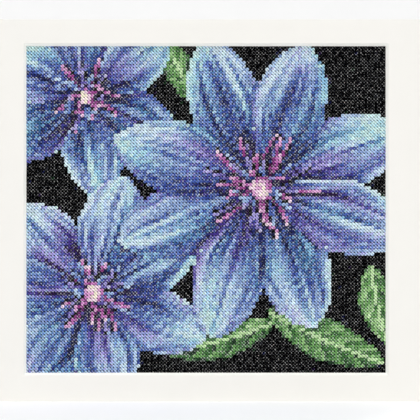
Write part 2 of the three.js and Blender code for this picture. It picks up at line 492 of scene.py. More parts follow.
class Chart:
    """The stitch chart: the area of each stitch, and the shades of the two strands that work it."""

    LIGHT = np.array([-0.6, 0.8])  # the drawn light comes from the upper left
    SPREAD = 3  # stitches over which an upper petal's shadow fades
    PATCH = 4.2  # millimetres from one patch of colour to the next in an eye
    HEART_PATCH = (9, 0)  # where a heart's grain is read
    BESIDE = 0.12  # how deep a flower's shadow is on the ground that counts as beside it
    TINTS = 0.03  # the share of the ground's stitches that have a dark tint
    TINTS_BESIDE = 0.14

    def __init__(self, slabs: dict[str, bpy.types.Object], middle_z: float, seed: int = 14) -> None:
        """Lays out the grid, finds the area of each stitch and shades it.

        Args:
            slabs: The frame's stitching nodes, by area.
            middle_z: The height of the window's middle, in metres.
            seed: What the stitches' small differences are drawn from.
        """
        x = (np.arange(COLUMNS) - COLUMNS / 2 + 0.5) * PITCH / MM
        z = (np.arange(ROWS) - ROWS / 2 + 0.5) * PITCH / MM
        self.x, self.z = np.meshgrid(x, z)
        self.middle_z = middle_z
        self.names = list(slabs)
        self.area = self.find_areas(slabs)
        draw = np.random.default_rng(seed)
        self.speck = draw.uniform(-1, 1, self.x.shape)
        self.fleck = draw.uniform(-1, 1, self.x.shape)
        self.chance = draw.uniform(0, 1, self.x.shape)
        self.first = np.full(self.x.shape, SHADES.index(Shade.BLACK))
        self.second = self.first
        for blossom in BLOSSOMS:
            self.shade_blossom(blossom)
        for blade in LEAVES:
            self.shade_leaf(blade)
        self.shade_ground()

    def find_areas(self, slabs: dict[str, bpy.types.Object]) -> np.ndarray:
        """Finds the slab of stitching under each stitch's middle.

        Args:
            slabs: The frame's stitching nodes, by area.

        Returns:
            The number of each stitch's area. A stitch between two slabs takes a neighbour's.
        """
        area = np.full(self.x.shape, -1)
        for number, node in enumerate(slabs.values()):
            low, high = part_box(node.name)
            height = self.z * MM + self.middle_z
            inside = (self.x * MM > low.x) & (self.x * MM < high.x) & (height > low.z) & (height < high.z)
            for row, column in np.argwhere(inside & (area < 0)):
                origin = Vector((self.x[row, column] * MM, low.y - PITCH, height[row, column]))
                if node.ray_cast(origin, Vector((0, 1, 0)))[0]:
                    area[row, column] = number
        while (area < 0).any():
            for step, axis in ((1, 0), (-1, 0), (1, 1), (-1, 1)):
                area = np.where(area < 0, np.roll(area, step, axis), area)
        return area

    def mask(self, *prefixes: str) -> np.ndarray:
        """Marks the stitches of the areas whose names start with one of the prefixes."""
        wanted = [i for i, name in enumerate(self.names) if name.startswith(prefixes)]
        return np.isin(self.area, wanted)

    def lay(self, here: np.ndarray, first: np.ndarray, second: np.ndarray) -> None:
        """Gives some stitches their two strands' shades, which cover the whole picture."""
        self.first = np.where(here, first, self.first)
        self.second = np.where(here, second, self.second)

    def lay_ramp(self, here: np.ndarray, ramp: tuple[Shade, ...], tone: np.ndarray, fleck: float) -> None:
        """Gives some stitches a ramp's shades by their tone, the second strand's up to a fleck off."""
        self.lay(here, pick(ramp, tone), pick(ramp, tone + fleck * self.fleck))

    def shadow(self, above: np.ndarray) -> np.ndarray:
        """Spreads the shadow that the areas above throw on those below.

        Args:
            above: The stitches that lie on top.

        Returns:
            How deep the shadow is on each stitch, from 0 to 1.
        """
        depth = above.astype(float)
        for _ in range(self.SPREAD):
            wide = np.pad(depth, 1, mode="edge")
            near = wide[:-2, 1:-1] + wide[2:, 1:-1] + wide[1:-1, :-2] + wide[1:-1, 2:]
            depth = (near + 2 * depth) / 6
        return depth

    def shade_blossom(self, blossom: Blossom) -> None:
        """Shades a blossom's petals, then its eye and its heart.

        Args:
            blossom: The blossom.
        """
        petals = blossom.blades()
        earlier = BLOSSOMS[: BLOSSOMS.index(blossom)]
        above = self.mask(*(f"{b.name}_" for b in earlier)) if earlier else np.zeros(self.x.shape, bool)
        above = above | self.mask(f"{blossom.name}_heart", f"{blossom.name}_eye")
        for parity in (blossom.lead, 1 - blossom.lead):
            shadow = self.shadow(above)
            upper = petals[parity::2]
            for blade in upper:
                self.shade_petal(blossom, blade, shadow)
            above = above | self.mask(*(blade.name for blade in upper))
        self.shade_eye(blossom)
        for ring in FILAMENTS:
            self.draw_filaments(blossom, ring)
        self.shade_heart(blossom)

    def shade_petal(self, blossom: Blossom, blade: Blade, shadow: np.ndarray) -> None:
        """Shades a petal: streaks along it, folds, a rib, a broken pale lip and the shadow on it.

        Args:
            blossom: The blossom that the petal belongs to.
            blade: The petal.
            shadow: How deep the shadow is on each stitch.
        """
        tones, hues = PETAL_TONES, PETAL_HUES
        t, s = blade.place(self.x, self.z)
        aside = s * blade.width / 2
        seed = int(10 * blade.turn + 37 * blade.length)
        grain = Grain(seed)
        tone = tones.foot + tones.outward * t**tones.outward_bow
        tone += tones.lanes * grain.at(aside / tones.lane_width, t * tones.lane_cells, (7, 3))
        tone += tones.streaks * grain.at(aside / tones.streak_width, t * tones.streak_cells, (31, 11))
        tone += tones.clouds * grain.at(s * tones.cloud_cells[0], t * tones.cloud_cells[1], (17, 23))
        tone += tones.side_light * float(blade.aside @ self.LIGHT) * s
        tone += tones.end_light * float(blade.ahead @ self.LIGHT) * (t - tones.end_light_from)
        tone -= tones.rib * ridge(s, tones.rib_place, tones.line_width) * (t < tones.rib_end)
        tone += tones.ridge * ridge(s, tones.ridge_place, tones.line_width)
        for fold in tones.fold_places:
            middle = fold * (tones.fold_foot + tones.fold_spread * t)
            tone -= tones.fold * ridge(s, middle, tones.fold_width) * np.clip(tones.fold_end - t, 0, 1)
        ripple = np.sin(2 * math.pi * (tones.ripples * t + tones.ripple_slant * s) + seed)
        tone += tones.ripple * ripple * s * s
        at_side = np.clip((np.abs(s) - tones.lip_side) / (1 - tones.lip_side), 0, 1)
        at_tip = np.clip((t - tones.lip_tip) / (1 - tones.lip_tip), 0, 1)
        lip = np.maximum(at_side, at_tip)
        tone += tones.lip * lip * np.clip(2 * t, 0, 1) - tones.shadow * shadow
        tone = tone + tones.speck * self.speck
        clouds = grain.at(s * hues.cells, t * hues.cells, (41, 5))
        hue = hues.outward * t + hues.foot + hues.clouds * clouds + hues.fleck * self.fleck
        hue = hue - blossom.violet + hues.lift
        first = pick(BLUES, tone)
        first = np.where(hue < hues.violet, pick(VIOLETS, tone + hues.violet_tone), first)
        first = np.where(hue > hues.aqua, pick(AQUAS, tone), first)
        other = tone + tones.fleck * self.fleck
        second = pick(BLUES, other)
        second = np.where(hue < hues.violet_beside, pick(VIOLETS, other + hues.violet_tone), second)
        second = np.where(np.abs(hue - hues.slate_beside) < hues.slate_reach, pick(SLATES, other), second)
        second = np.where(hue > hues.aqua_beside, pick(AQUAS, other), second)
        on_lip = (lip > tones.lip_foot) & (t > tones.lip_foot) & (shadow < tones.lit_shadow)
        bright = on_lip & (self.chance < tones.glints)
        glint = pick(GLINTS, np.clip(self.chance / tones.glints, 0, 1))
        first = np.where(bright, glint, first)
        second = np.where(bright & (self.fleck > 0), glint, second)
        self.lay(self.mask(blade.name), first, second)

    def shade_eye(self, blossom: Blossom) -> None:
        """Shades an eye with dusky blues and violets, which its filaments stand before.

        Args:
            blossom: The blossom.
        """
        tones = EYE_TONES
        grain = Grain(tones.seed + blossom.petals)
        patches = grain.at(self.x / self.PATCH, self.z / self.PATCH)
        tone = tones.middle + tones.grain * patches + tones.speck * self.speck
        self.lay_ramp(self.mask(f"{blossom.name}_eye"), DUSKS, tone, tones.fleck)

    def draw_filaments(self, blossom: Blossom, ring: Filaments) -> None:
        """Draws a ring of filaments over the eye and the petals' feet, dark at the foot and pale above.

        Args:
            blossom: The blossom.
            ring: The ring.
        """
        tones = FILAMENT_TONES
        here = self.mask(f"{blossom.name}_petal", f"{blossom.name}_eye")
        dx, dz = self.x - blossom.x, self.z - blossom.z
        radius = np.hypot(dx, dz)
        angle = np.arctan2(dz, dx)
        many = round(ring.share * blossom.filaments)
        draw = np.random.default_rng(int(tones.seed * ring.share) + blossom.filaments)
        foot = ring.start * blossom.eye
        for k in range(many):
            heading = 2 * math.pi * (k + draw.uniform(-tones.sway, tones.sway)) / many
            reach = blossom.eye * draw.uniform(ring.shortest, ring.longest)
            bow = draw.uniform(-tones.bow, tones.bow) * (radius / reach) ** 2
            ramp = (ROSES, ROSES, VIOLETS, BLUES)[draw.integers(4)]
            aside = np.angle(np.exp(1j * (angle - heading - bow))) * radius / ring.half_width
            inside = here & (radius > foot) & (radius < reach)
            beside = inside & (np.abs(aside + tones.shadow_place) < tones.shadow_half_width)
            up = np.clip((radius - foot) / (reach - foot), 0, 1)
            tone = tones.foot + tones.upward * up**tones.upward_bow + tones.speck * self.speck
            if ramp is not BLUES:
                self.lay_ramp(beside, SHADOWS, self.chance, 0.0)
            self.lay_ramp(inside & (np.abs(aside) < 1), ramp, tone, tones.fleck)

    def shade_heart(self, blossom: Blossom) -> None:
        """Shades a heart: pale in its middle, and plum towards its rim.

        Args:
            blossom: The blossom.
        """
        tones = HEART_TONES
        grain = Grain(tones.seed + blossom.petals)
        patches = grain.at(self.x / self.PATCH, self.z / self.PATCH, self.HEART_PATCH)
        out = np.hypot(self.x - blossom.x, self.z - blossom.z) / blossom.heart
        tone = tones.middle - tones.rim * out**2 + tones.grain * patches + tones.speck * self.speck
        self.lay_ramp(self.mask(f"{blossom.name}_heart"), HEARTS, tone, tones.fleck)

    def shade_leaf(self, blade: Blade) -> None:
        """Shades a leaf: a pale rib, slanting veins, and a dark edge and shadow.

        Args:
            blade: The leaf.
        """
        tones = LEAF_TONES
        t, s = blade.place(self.x, self.z)
        half = blade.width / 2
        grain = Grain(tones.seed + LEAVES.index(blade))
        petals = self.mask(*(f"{blossom.name}_" for blossom in BLOSSOMS))
        pleat = (blade.length / tones.pleat_length * t - tones.vein_slant * np.abs(s)) % 1
        tone = tones.middle + tones.pleat * pleat
        tone += tones.side_light * float(blade.aside @ self.LIGHT) * np.sign(s)
        tone += tones.speck * self.speck
        tone += tones.grain * grain.at(s * half / tones.grain_width, t * tones.grain_cells)
        rib = tones.rib_half_width / (half * np.maximum(blade.form.share(t), tones.least_share))
        tone = np.where(np.abs(s) < rib, tones.rib, tone)
        tone -= tones.edge * (np.abs(s) > tones.edge_place) + tones.shadow * self.shadow(petals)
        self.lay_ramp(self.mask(blade.name), GREENS, tone, tones.fleck)

    def shade_ground(self) -> None:
        """Drops a few dark tints into the black ground, more of them beside the flowers."""
        ground = self.mask("ground")
        beside = (self.shadow(~ground) > self.BESIDE) & ground
        few = ground & (self.chance < np.where(beside, self.TINTS_BESIDE, self.TINTS))
        self.lay(few, pick(DIMS, self.fleck / 2 + 0.5), self.second)


# ---- Meshes ----


class MeshBuilder:
    """Gathers points and faces, and makes them one Blender object."""

    def __init__(self) -> None:
        """Starts empty."""
        self.points: list[np.ndarray] = []
        self.faces: list[tuple[np.ndarray, int, bool]] = []
        self.count = 0

    def add_points(self, points: ArrayLike) -> int:
        """Adds points.

        Args:
            points: Rows of x, y and z, in metres.

        Returns:
            The number of the first of them.
        """
        first = self.count
        points = np.asarray(points, float).reshape(-1, 3)
        self.points.append(points)
        self.count += len(points)
        return first

    def add_faces(self, faces: ArrayLike, slot: int = 0, smooth: bool = True) -> None:
        """Adds faces as rows of point numbers, all with the same number of corners."""
        self.faces.append((np.atleast_2d(np.asarray(faces, int)), slot, smooth))

    def add_polygon(self, points: ArrayLike, slot: int = 0, smooth: bool = False) -> None:
        """Adds one face with points of its own, its corners in order and in metres."""
        first = self.add_points(points)
        self.add_faces(np.arange(first, self.count), slot, smooth)

    def add_grid(
        self, rows: list[np.ndarray], slot: int = 0, smooth: bool = True, closed: bool = False
    ) -> None:
        """Adds a sheet of quads between rows that have the same number of points.

        Args:
            rows: The rows of points, in metres.
            slot: The material slot.
            smooth: Whether it is shaded smooth.
            closed: Whether each row's last point joins its first.
        """
        width = len(rows[0])
        first = self.add_points(np.concatenate(rows))
        along = np.arange(width if closed else width - 1)
        after = (along + 1) % width
        for k in range(len(rows) - 1):
            near, far = first + k * width, first + (k + 1) * width
            quads = np.stack([near + along, near + after, far + after, far + along], 1)
            self.add_faces(quads, slot, smooth)

    def add_tube(self, rings: list[np.ndarray]) -> None:
        """Adds a smooth tube, closed at both ends.

        Args:
            rings: The rings of points that it runs through.
        """
        self.add_grid(rings, closed=True)
        self.add_polygon(rings[0], smooth=True)
        self.add_polygon(rings[-1], smooth=True)

    def build(self, name: str, materials: list[bpy.types.Material], weld: float = 0.0) -> bpy.types.Object:
        """Makes the object.

        Args:
            name: Its name.
            materials: The materials of its slots.
            weld: Points nearer than this are joined, in metres, and the faces are turned outward.

        Returns:
            The object, linked to the scene.
        """
        mesh = bpy.data.meshes.new(name)
        points = np.concatenate(self.points)
        loops = np.concatenate([faces.ravel() for faces, _, _ in self.faces])
        sizes = np.concatenate([np.full(len(faces), faces.shape[1]) for faces, _, _ in self.faces])
        slots = np.concatenate([np.full(len(faces), slot) for faces, slot, _ in self.faces])
        smooth = np.concatenate([np.full(len(faces), flag) for faces, _, flag in self.faces])
        mesh.vertices.add(len(points))
        mesh.vertices.foreach_set("co", points.ravel())
        mesh.loops.add(len(loops))
        mesh.loops.foreach_set("vertex_index", loops)
        mesh.polygons.add(len(sizes))
        mesh.polygons.foreach_set("loop_start", np.cumsum(sizes) - sizes)
        mesh.polygons.foreach_set("material_index", slots)
        mesh.polygons.foreach_set("use_smooth", smooth)
        mesh.update(calc_edges=True)
        for material in materials:
            mesh.materials.append(material)
        if weld:
            self.weld(mesh, weld)
        thing = bpy.data.objects.new(name, mesh)
        bpy.context.scene.collection.objects.link(thing)
        return thing

    @staticmethod
    def weld(mesh: bpy.types.Mesh, distance: float) -> None:
        """Joins points that lie together and turns the faces outward.

        Args:
            mesh: The mesh.
            distance: How near the points are, in metres.
        """
        edit = bmesh.new()
        edit.from_mesh(mesh)
        bmesh.ops.remove_doubles(edit, verts=edit.verts, dist=distance)
        bmesh.ops.recalc_face_normals(edit, faces=edit.faces)
        edit.to_mesh(mesh)
        edit.free()


# ---- Finishes ----

Socket = bpy.types.NodeSocket


class Surface:
    """A material whose nodes are added and joined by short calls."""

    def __init__(self, name: str) -> None:
        """Makes the material with its one shader.

        Args:
            name: The material's name.
        """
        self.material = bpy.data.materials.new(name)
        self.material.use_nodes = True
        self.tree = self.material.node_tree
        self.shader = self.tree.nodes["Principled BSDF"]
        self.place = self.node("ShaderNodeTexCoord", {}, "Object")  # in metres

    def node(
        self, kind: str, inputs: dict[str | int, Any], output: str | int = 0, **settings: Any
    ) -> Socket:
        """Adds a node.

        Args:
            kind: The node's type.
            inputs: What goes into its sockets, by name or number: a value, or another node's output.
            output: The socket that it gives back.
            **settings: The node's own properties.

        Returns:
            The output socket.
        """
        made = self.tree.nodes.new(kind)
        for key, value in settings.items():
            setattr(made, key, value)
        for key, value in inputs.items():
            self.feed(made.inputs[key], value)
        return made.outputs[output]

    def feed(self, socket: Socket, value: Any) -> None:
        """Joins a socket to another node's output, or sets its value.

        Args:
            socket: The socket.
            value: The output or the value.
        """
        if isinstance(value, Socket):
            self.tree.links.new(value, socket)
        else:
            socket.default_value = value

    def set(self, **values: Any) -> None:
        """Feeds the shader's sockets, their names written with underscores."""
        for key, value in values.items():
            self.feed(self.shader.inputs[key.replace("_", " ")], value)

    def math(self, operation: str, *values: Any) -> Socket:
        """Adds a sum or other operation on numbers."""
        return self.node("ShaderNodeMath", dict(enumerate(values)), operation=operation)

    def total(self, base: float, *parts: tuple[Socket, float]) -> Socket:
        """Adds up outputs, each times its weight, and a number.

        Args:
            base: The number.
            *parts: Each output with its weight.

        Returns:
            The sum.
        """
        whole, *others = [self.math("MULTIPLY", value, weight) for value, weight in parts]
        for other in others:
            whole = self.math("ADD", whole, other)
        return self.math("ADD", whole, base) if base else whole

    def vector(self, operation: str, *values: Any, output: str = "Vector") -> Socket:
        """Adds an operation on vectors."""
        return self.node("ShaderNodeVectorMath", dict(enumerate(values)), output, operation=operation)

    def noise(self, place: Socket, size: float, detail: float = 2.0, roughness: float = 0.5) -> Socket:
        """Adds cloudy noise from 0 to 1, its clouds one size apart in the units of the place."""
        inputs = {"Vector": place, "Scale": 1 / size, "Detail": detail, "Roughness": roughness}
        return self.node("ShaderNodeTexNoise", inputs, "Fac")

    def range(self, value: Socket, low: float, high: float, to_low: float, to_high: float) -> Socket:
        """Carries a number from one range to another, smoothly and clamped."""
        inputs = {"Value": value, "From Min": low, "From Max": high, "To Min": to_low, "To Max": to_high}
        return self.node("ShaderNodeMapRange", inputs, interpolation_type="SMOOTHSTEP")

    def mix(self, factor: Any, first: Any, second: Any, blend: str = "MIX") -> Socket:
        """Mixes two colours.

        Args:
            factor: The second's share.
            first: A colour or an output.
            second: A colour or an output.
            blend: How they mix.

        Returns:
            The mixed colour.
        """
        settings = {"data_type": "RGBA", "blend_type": blend}
        inputs = {0: factor, 6: first, 7: second}  # the node's colour sockets share their names
        return self.node("ShaderNodeMix", inputs, 2, **settings)

    def scaled(self, colour: Any, amount: Socket) -> Socket:
        """Makes a colour lighter or darker by a number that varies over the surface."""
        grey = self.node("ShaderNodeCombineColor", {0: amount, 1: amount, 2: amount})
        return self.mix(1.0, colour, grey, "MULTIPLY")

    def bell(self, value: Socket, middle: float, reach: float) -> Socket:
        """Gives 1 where a number is at the middle, falling smoothly to 0 at the reach on either side."""
        away = self.math("ABSOLUTE", self.math("SUBTRACT", value, middle))
        return self.range(away, 0.0, reach, 1.0, 0.0)

    def bump(self, height: Socket, depth: float, strength: float = 1.0) -> None:
        """Gives the surface a fine relief, from a height of 0 to 1 and a depth in metres."""
        inputs = {"Strength": strength, "Distance": depth, "Height": height}
        self.set(Normal=self.node("ShaderNodeBump", inputs))


@dataclass(frozen=True, kw_only=True)
class Finish(ABC):
    """What every finish has: its name and tint, how it shines, and how deep its fine relief is."""

    name: str
    tint: str
    roughness: float
    specular: float = 0.5
    sheen: float = 0.0
    relief: float = 0.0
    relief_strength: float = 0.7

    def material(self) -> bpy.types.Material:
        """Builds the material.

        Returns:
            The material, with the finish's colour, relief and shine.
        """
        made = Surface(self.name)
        base, height = self.look(made)
        made.set(Base_Color=base, Roughness=self.roughness)
        made.set(Specular_IOR_Level=self.specular, Sheen_Weight=self.sheen)
        if self.relief:
            made.bump(height, self.relief, self.relief_strength)
        return made.material

    @abstractmethod
    def look(self, made: Surface) -> tuple[Socket, Socket]:
        """Makes the finish's colour, and its relief from 0 to 1."""

    def tinted(self, made: Surface, tone: Socket) -> Socket:
        """Gives the tint, made darker by a tone from 0 to 1."""
        return made.scaled(colour(self.tint), tone)


@dataclass(frozen=True, kw_only=True)
class FlossFinish(Finish):
    """Mercerised stranded cotton: the shade of each stitch, its twist, and the glints on its shoulders.

    Its tint is the glints', a highlight painted into the colour. The middle of each cross carries painted
    shade and its shoulders a painted highlight, and the strand ends that sink into the holes carry painted
    shade. Shoulders and sinking ends are placed from a strand's middle along it, and the flank from its
    underside round it.
    """

    tint: str = "ffffff"
    roughness: float = 0.42
    specular: float = 0.12
    relief: float = 0.05 * MM
    relief_strength: float = 0.6
    # painted glints: a highlight painted into the colour on the strands' shoulders
    glint: float = 0.72
    glint_from: float = 0.50
    glint_to: float = 0.60
    glint_size: float = 1.0 * MM
    twist: float = 0.34 * MM
    twist_slant: float = 58.0
    twist_waver: float = 1.2
    twist_tone: float = 0.18
    twist_relief: float = 0.7
    fibre: float = 0.11 * MM
    fibre_tone: float = 0.36
    fibre_relief: float = 0.3
    least_tone: float = 0.76
    shoulder: float = 0.64 * MM
    shoulder_reach: float = 0.34 * MM
    flank: float = 0.90 * MM
    flank_reach: float = 0.60 * MM
    # painted shade in the middle of each cross and painted highlight on its shoulders
    painted_crown_shade: float = 0.58
    painted_shoulder_light: float = 1.26
    # painted shade on the strand ends that go down into the holes, less deep on pale floss
    painted_shade_start: float = 0.70 * MM
    painted_shade_end: float = 0.96 * MM
    painted_shade_deepest: float = 0.04
    painted_shade_on_pale: float = 0.60
    dark_floss: float = 0.30
    light_floss: float = 0.75

    COLOUR = "floss"
    LAY = "lay"

    @classmethod
    def for_slot(cls, slot: str) -> "FlossFinish":
        """Makes the finish of a slot's cotton. Black cotton shows only narrow grey glints.

        Args:
            slot: The record's material slot.

        Returns:
            The finish.
        """
        if slot.endswith("black"):
            return cls(
                name=slot,
                glint=0.95,
                glint_from=0.34,
                glint_to=0.80,
                specular=0.0,
                shoulder_reach=0.21 * MM,
                flank_reach=0.36 * MM,
            )
        return cls(name=slot)

    def look(self, made: Surface) -> tuple[Socket, Socket]:
        """Shades each strand from its stored shade and the way that its fibres lie, with painted glints and
        shade.

        Args:
            made: The material.

        Returns:
            The colour and the relief.
        """
        shade = made.node("ShaderNodeAttribute", {}, "Color", attribute_name=self.COLOUR)
        lay = made.node("ShaderNodeAttribute", {}, "Vector", attribute_name=self.LAY)
        turn = (0, 0, math.radians(self.twist_slant))
        slant = made.node("ShaderNodeMapping", {"Vector": lay, "Rotation": turn})
        inputs = {"Vector": slant, "Scale": MM / self.twist, "Distortion": self.twist_waver, "Detail": 1.0}
        ply = made.node("ShaderNodeTexWave", inputs, "Fac")
        fibres = made.noise(made.place, self.fibre, 3.0, 0.6)
        streaks = made.noise(made.place, self.glint_size, 0.0)
        around = made.node("ShaderNodeSeparateXYZ", {"Vector": lay}, "X")
        along = made.math("ABSOLUTE", around.node.outputs["Y"])
        shoulder = made.bell(along, self.shoulder / MM, self.shoulder_reach / MM)
        flank = made.bell(around, self.flank / MM, self.flank_reach / MM)
        # painted glint: a highlight painted into the colour, on the flank of each shoulder
        painted_glint = made.range(streaks, self.glint_from, self.glint_to, 0.0, self.glint)
        painted_glint = made.math("MULTIPLY", painted_glint, made.math("MULTIPLY", shoulder, flank))
        lit = made.mix(painted_glint, shade, colour(self.tint))
        # painted shade darkens the middle of each cross, and painted highlight lightens its shoulders
        painted_light_along = made.range(along, 0.0, self.shoulder / MM, self.painted_crown_shade, self.painted_shoulder_light)
        # painted shade on the strand ends where they go down into the holes, less deep on pale floss
        lightness = made.node("ShaderNodeRGBToBW", {"Color": shade})
        painted_shade_floors = (self.painted_shade_deepest, self.painted_shade_on_pale)
        painted_shade_floor = made.range(lightness, self.dark_floss, self.light_floss, *painted_shade_floors)
        painted_end_shade = made.range(along, self.painted_shade_start / MM, self.painted_shade_end / MM, 1.0, painted_shade_floor)
        tone = made.total(self.least_tone, (ply, self.twist_tone), (fibres, self.fibre_tone))
        tone = made.math("MULTIPLY", tone, made.math("MULTIPLY", painted_light_along, painted_end_shade))
        height = made.total(0.0, (ply, self.twist_relief), (fibres, self.fibre_relief))
        return made.scaled(lit, tone), height


@dataclass(frozen=True, kw_only=True)
class AidaFinish(Finish):
    """Block-woven cotton cloth with a hole at each corner of its blocks."""

    hole: float
    middle_z: float
    tint: str = "f3efe4"
    roughness: float = 0.9
    specular: float = 0.2
    sheen: float = 0.15
    relief: float = 0.12 * MM
    relief_strength: float = 0.8
    # painted shade: the holes get a dark colour that stands in for the shadow inside them
    hole_shadow_tint: str = "1d1a18"
    rim_from: float = 0.6
    rim_to: float = 1.25
    rim_waver: float = 0.05
    waver_size: float = 0.5 * MM
    block_threads: int = 4
    thread_tone: float = 0.14
    mottle: float = 9 * MM
    mottle_tone: float = 0.10
    least_tone: float = 0.80

    HALF = (0.5, 0.5, 0.5)
    FACE = (1, 0, 1)

    def look(self, made: Surface) -> tuple[Socket, Socket]:
        """Weaves the cloth's threads and paints a hole at each corner of the blocks in painted shade.

        Args:
            made: The material.

        Returns:
            The colour and the relief.
        """
        centred = made.vector("SUBTRACT", made.place, (0, 0, self.middle_z))
        scale = {0: centred, "Scale": 1 / PITCH}
        cells = made.node("ShaderNodeVectorMath", scale, "Vector", operation="SCALE")
        nearest = made.vector("FRACTION", made.vector("ADD", cells, self.HALF))
        flat = made.vector("MULTIPLY", made.vector("SUBTRACT", nearest, self.HALF), self.FACE)
        away = made.vector("LENGTH", flat, output="Value")
        waver = made.math("MULTIPLY", made.noise(made.place, self.waver_size), self.rim_waver)
        rim = (self.hole * self.rim_from / PITCH, self.hole * self.rim_to / PITCH)
        open_cloth = made.range(made.math("ADD", away, waver), *rim, 0.0, 1.0)
        threads = self.threads(made)
        mottle = made.noise(made.place, self.mottle, 3.0)
        tone = made.total(self.least_tone, (threads, self.thread_tone), (mottle, self.mottle_tone))
        # the holes take the painted shadow colour
        base = made.mix(open_cloth, colour(self.hole_shadow_tint), self.tinted(made, tone))
        return base, made.math("MULTIPLY", threads, open_cloth)

    def threads(self, made: Surface) -> Socket:
        """Gives the height of the cloth's threads, which go over and under each other.

        Args:
            made: The material.

        Returns:
            The threads' height, from 0 to 1.
        """
        turns = self.block_threads * 2 * math.pi / PITCH
        across = made.node("ShaderNodeSeparateXYZ", {"Vector": made.place}, "X")
        up = across.node.outputs["Z"]
        waves = [made.math("COSINE", made.math("MULTIPLY", axis, turns)) for axis in (across, up)]
        return made.total(0.5, (made.math("MULTIPLY", *waves), 0.5))


@dataclass(frozen=True)
class Layer:
    """A layer of cloudy grain: how large and how fine it is, its weight, and how it is squeezed."""

    size: float
    weight: float
    detail: float = 2.0
    roughness: float = 0.5
    squeeze: tuple[float, float, float] | None = None

    def read(self, made: Surface) -> Socket:
        """Gives the layer over the surface, from 0 to 1."""
        place = made.vector("MULTIPLY", made.place, self.squeeze) if self.squeeze else made.place
        return made.noise(place, self.size, self.detail, self.roughness)


@dataclass(frozen=True, kw_only=True)
class GrainFinish(Finish):
    """Paper or thread: layers of grain add to its lightness, and the first is its relief."""

    layers: tuple[Layer, ...]
    least_tone: float

    def look(self, made: Surface) -> tuple[Socket, Socket]:
        """Adds the layers up.

        Args:
            made: The material.

        Returns:
            The colour and the relief.
        """
        reads = [layer.read(made) for layer in self.layers]
        weights = [layer.weight for layer in self.layers]
        return self.tinted(made, made.total(self.least_tone, *zip(reads, weights))), reads[0]


@dataclass(frozen=True, kw_only=True)
class BlendFinish(GrainFinish):
    """A cut edge, a tissue or a floor: its layers make one grain, whose low parts darken it."""

    low: float = 0.3
    high: float = 0.7

    def look(self, made: Surface) -> tuple[Socket, Socket]:
        """Blends the layers into one, which gives the colour and the relief."""
        blend = made.total(0.0, *((layer.read(made), layer.weight) for layer in self.layers))
        return self.tinted(made, made.range(blend, self.low, self.high, self.least_tone, 1.0)), blend


@dataclass(frozen=True, kw_only=True)
class FoamFinish(Finish):
    """The cut core of foam board: small pressed cells."""

    name: str = "foam_core"
    tint: str = "e8e8e5"
    roughness: float = 0.7
    specular: float = 0.3
    relief: float = 0.08 * MM
    cell: float = 0.5 * MM
    wall: float = 0.16
    wall_tone: float = 0.07
    cloud: float = 3 * MM
    cloud_tone: float = 0.05
    least_tone: float = 0.88

    def look(self, made: Surface) -> tuple[Socket, Socket]:
        """Parts the foam into cells.

        Args:
            made: The material.

        Returns:
            The colour and the relief.
        """
        inputs = {"Vector": made.place, "Scale": 1 / self.cell, "Randomness": 1.0}
        cells = made.node("ShaderNodeTexVoronoi", inputs, "Distance", feature="DISTANCE_TO_EDGE")
        walls = made.range(cells, 0.0, self.wall, 0.0, 1.0)
        clouds = made.noise(made.place, self.cloud)
        tone = made.total(self.least_tone, (walls, self.wall_tone), (clouds, self.cloud_tone))
        return self.tinted(made, tone), walls


MOUNT_PAPER = GrainFinish(
    name="mount_paper",
    tint="e5e3de",
    roughness=0.85,
    specular=0.25,
    relief=0.015 * MM,
    layers=(Layer(0.35 * MM, 0.042, detail=4.0, roughness=0.65), Layer(14 * MM, 0.03, detail=3.0)),
    least_tone=0.964,
)
BOARD_PAPER = replace(MOUNT_PAPER, name="foam_board_paper", tint="f3f2ee", roughness=0.6, relief=0.008 * MM)
MOUNT_CORE = BlendFinish(
    name="mount_core",
    tint="eeeee9",
    roughness=0.9,
    specular=0.2,
    relief=0.04 * MM,
    relief_strength=0.8,
    layers=(
        Layer(0.16 * MM, 0.5, detail=3.0, roughness=0.6, squeeze=(0.05, 1.0, 0.05)),
        Layer(0.25 * MM, 0.5, detail=4.0, roughness=0.7),
    ),
    least_tone=0.93,
)
LINEN = GrainFinish(
    name="lacing_thread",
    tint="dccfb2",
    roughness=0.75,
    specular=0.3,
    sheen=0.2,
    relief=0.05 * MM,
    layers=(Layer(0.12 * MM, 0.30, detail=4.0, roughness=0.7), Layer(6 * MM, 0.16)),
    least_tone=0.72,
)
TAPE = BlendFinish(
    name="mounting_tape",
    tint="ddd8ca",
    roughness=0.35,
    relief=0.03 * MM,
    relief_strength=0.5,
    layers=(Layer(0.6 * MM, 1.0, detail=5.0, roughness=0.7, squeeze=(1.0, 1.0, 0.4)),),
    least_tone=0.88,
)
FLOOR = BlendFinish(
    name="studio_floor",
    tint="f7f7f7",
    roughness=0.8,
    layers=(Layer(80 * MM, 1.0),),
    least_tone=0.985,
    low=0.2,
    high=0.8,
)


# ---- The frame's planes and outlines ----


class Planes:
    """Where the frame puts the picture's layers and outlines, in metres."""

    def __init__(self) -> None:
        """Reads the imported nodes' boxes."""
        mount_low, mount_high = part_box("window_mount")
        panel_low, panel_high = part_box("aida_cloth")
        board_low, board_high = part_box("lacing_board")
        self.front = mount_low.y
        self.mount_back = mount_high.y
        self.outer = Vector((mount_high.x, mount_high.z))
        self.cloth_front = panel_low.y
        self.flap_back = panel_high.y
        self.panel_half = Vector((panel_high.x, (panel_high.z - panel_low.z) / 2))
        self.middle_z = (panel_high.z + panel_low.z) / 2
        self.board_front = board_low.y
        self.board_back = board_high.y


def place_piece(piece: bpy.types.Object, replaced: tuple[str, ...]) -> None:
    """Puts a finished piece on the frame.

    Args:
        piece: The piece.
        replaced: The nodes that it stands for.
    """
    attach(piece, ROOT)
    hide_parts(*replaced)
    LOG.info("%s: %d faces", piece.name, len(piece.data.polygons))


# ---- The stitching ----


class Leg(Enum):
    """The two halves of a cross: the one worked first, and the one that lies over it."""

    UNDER = -1
    OVER = 1


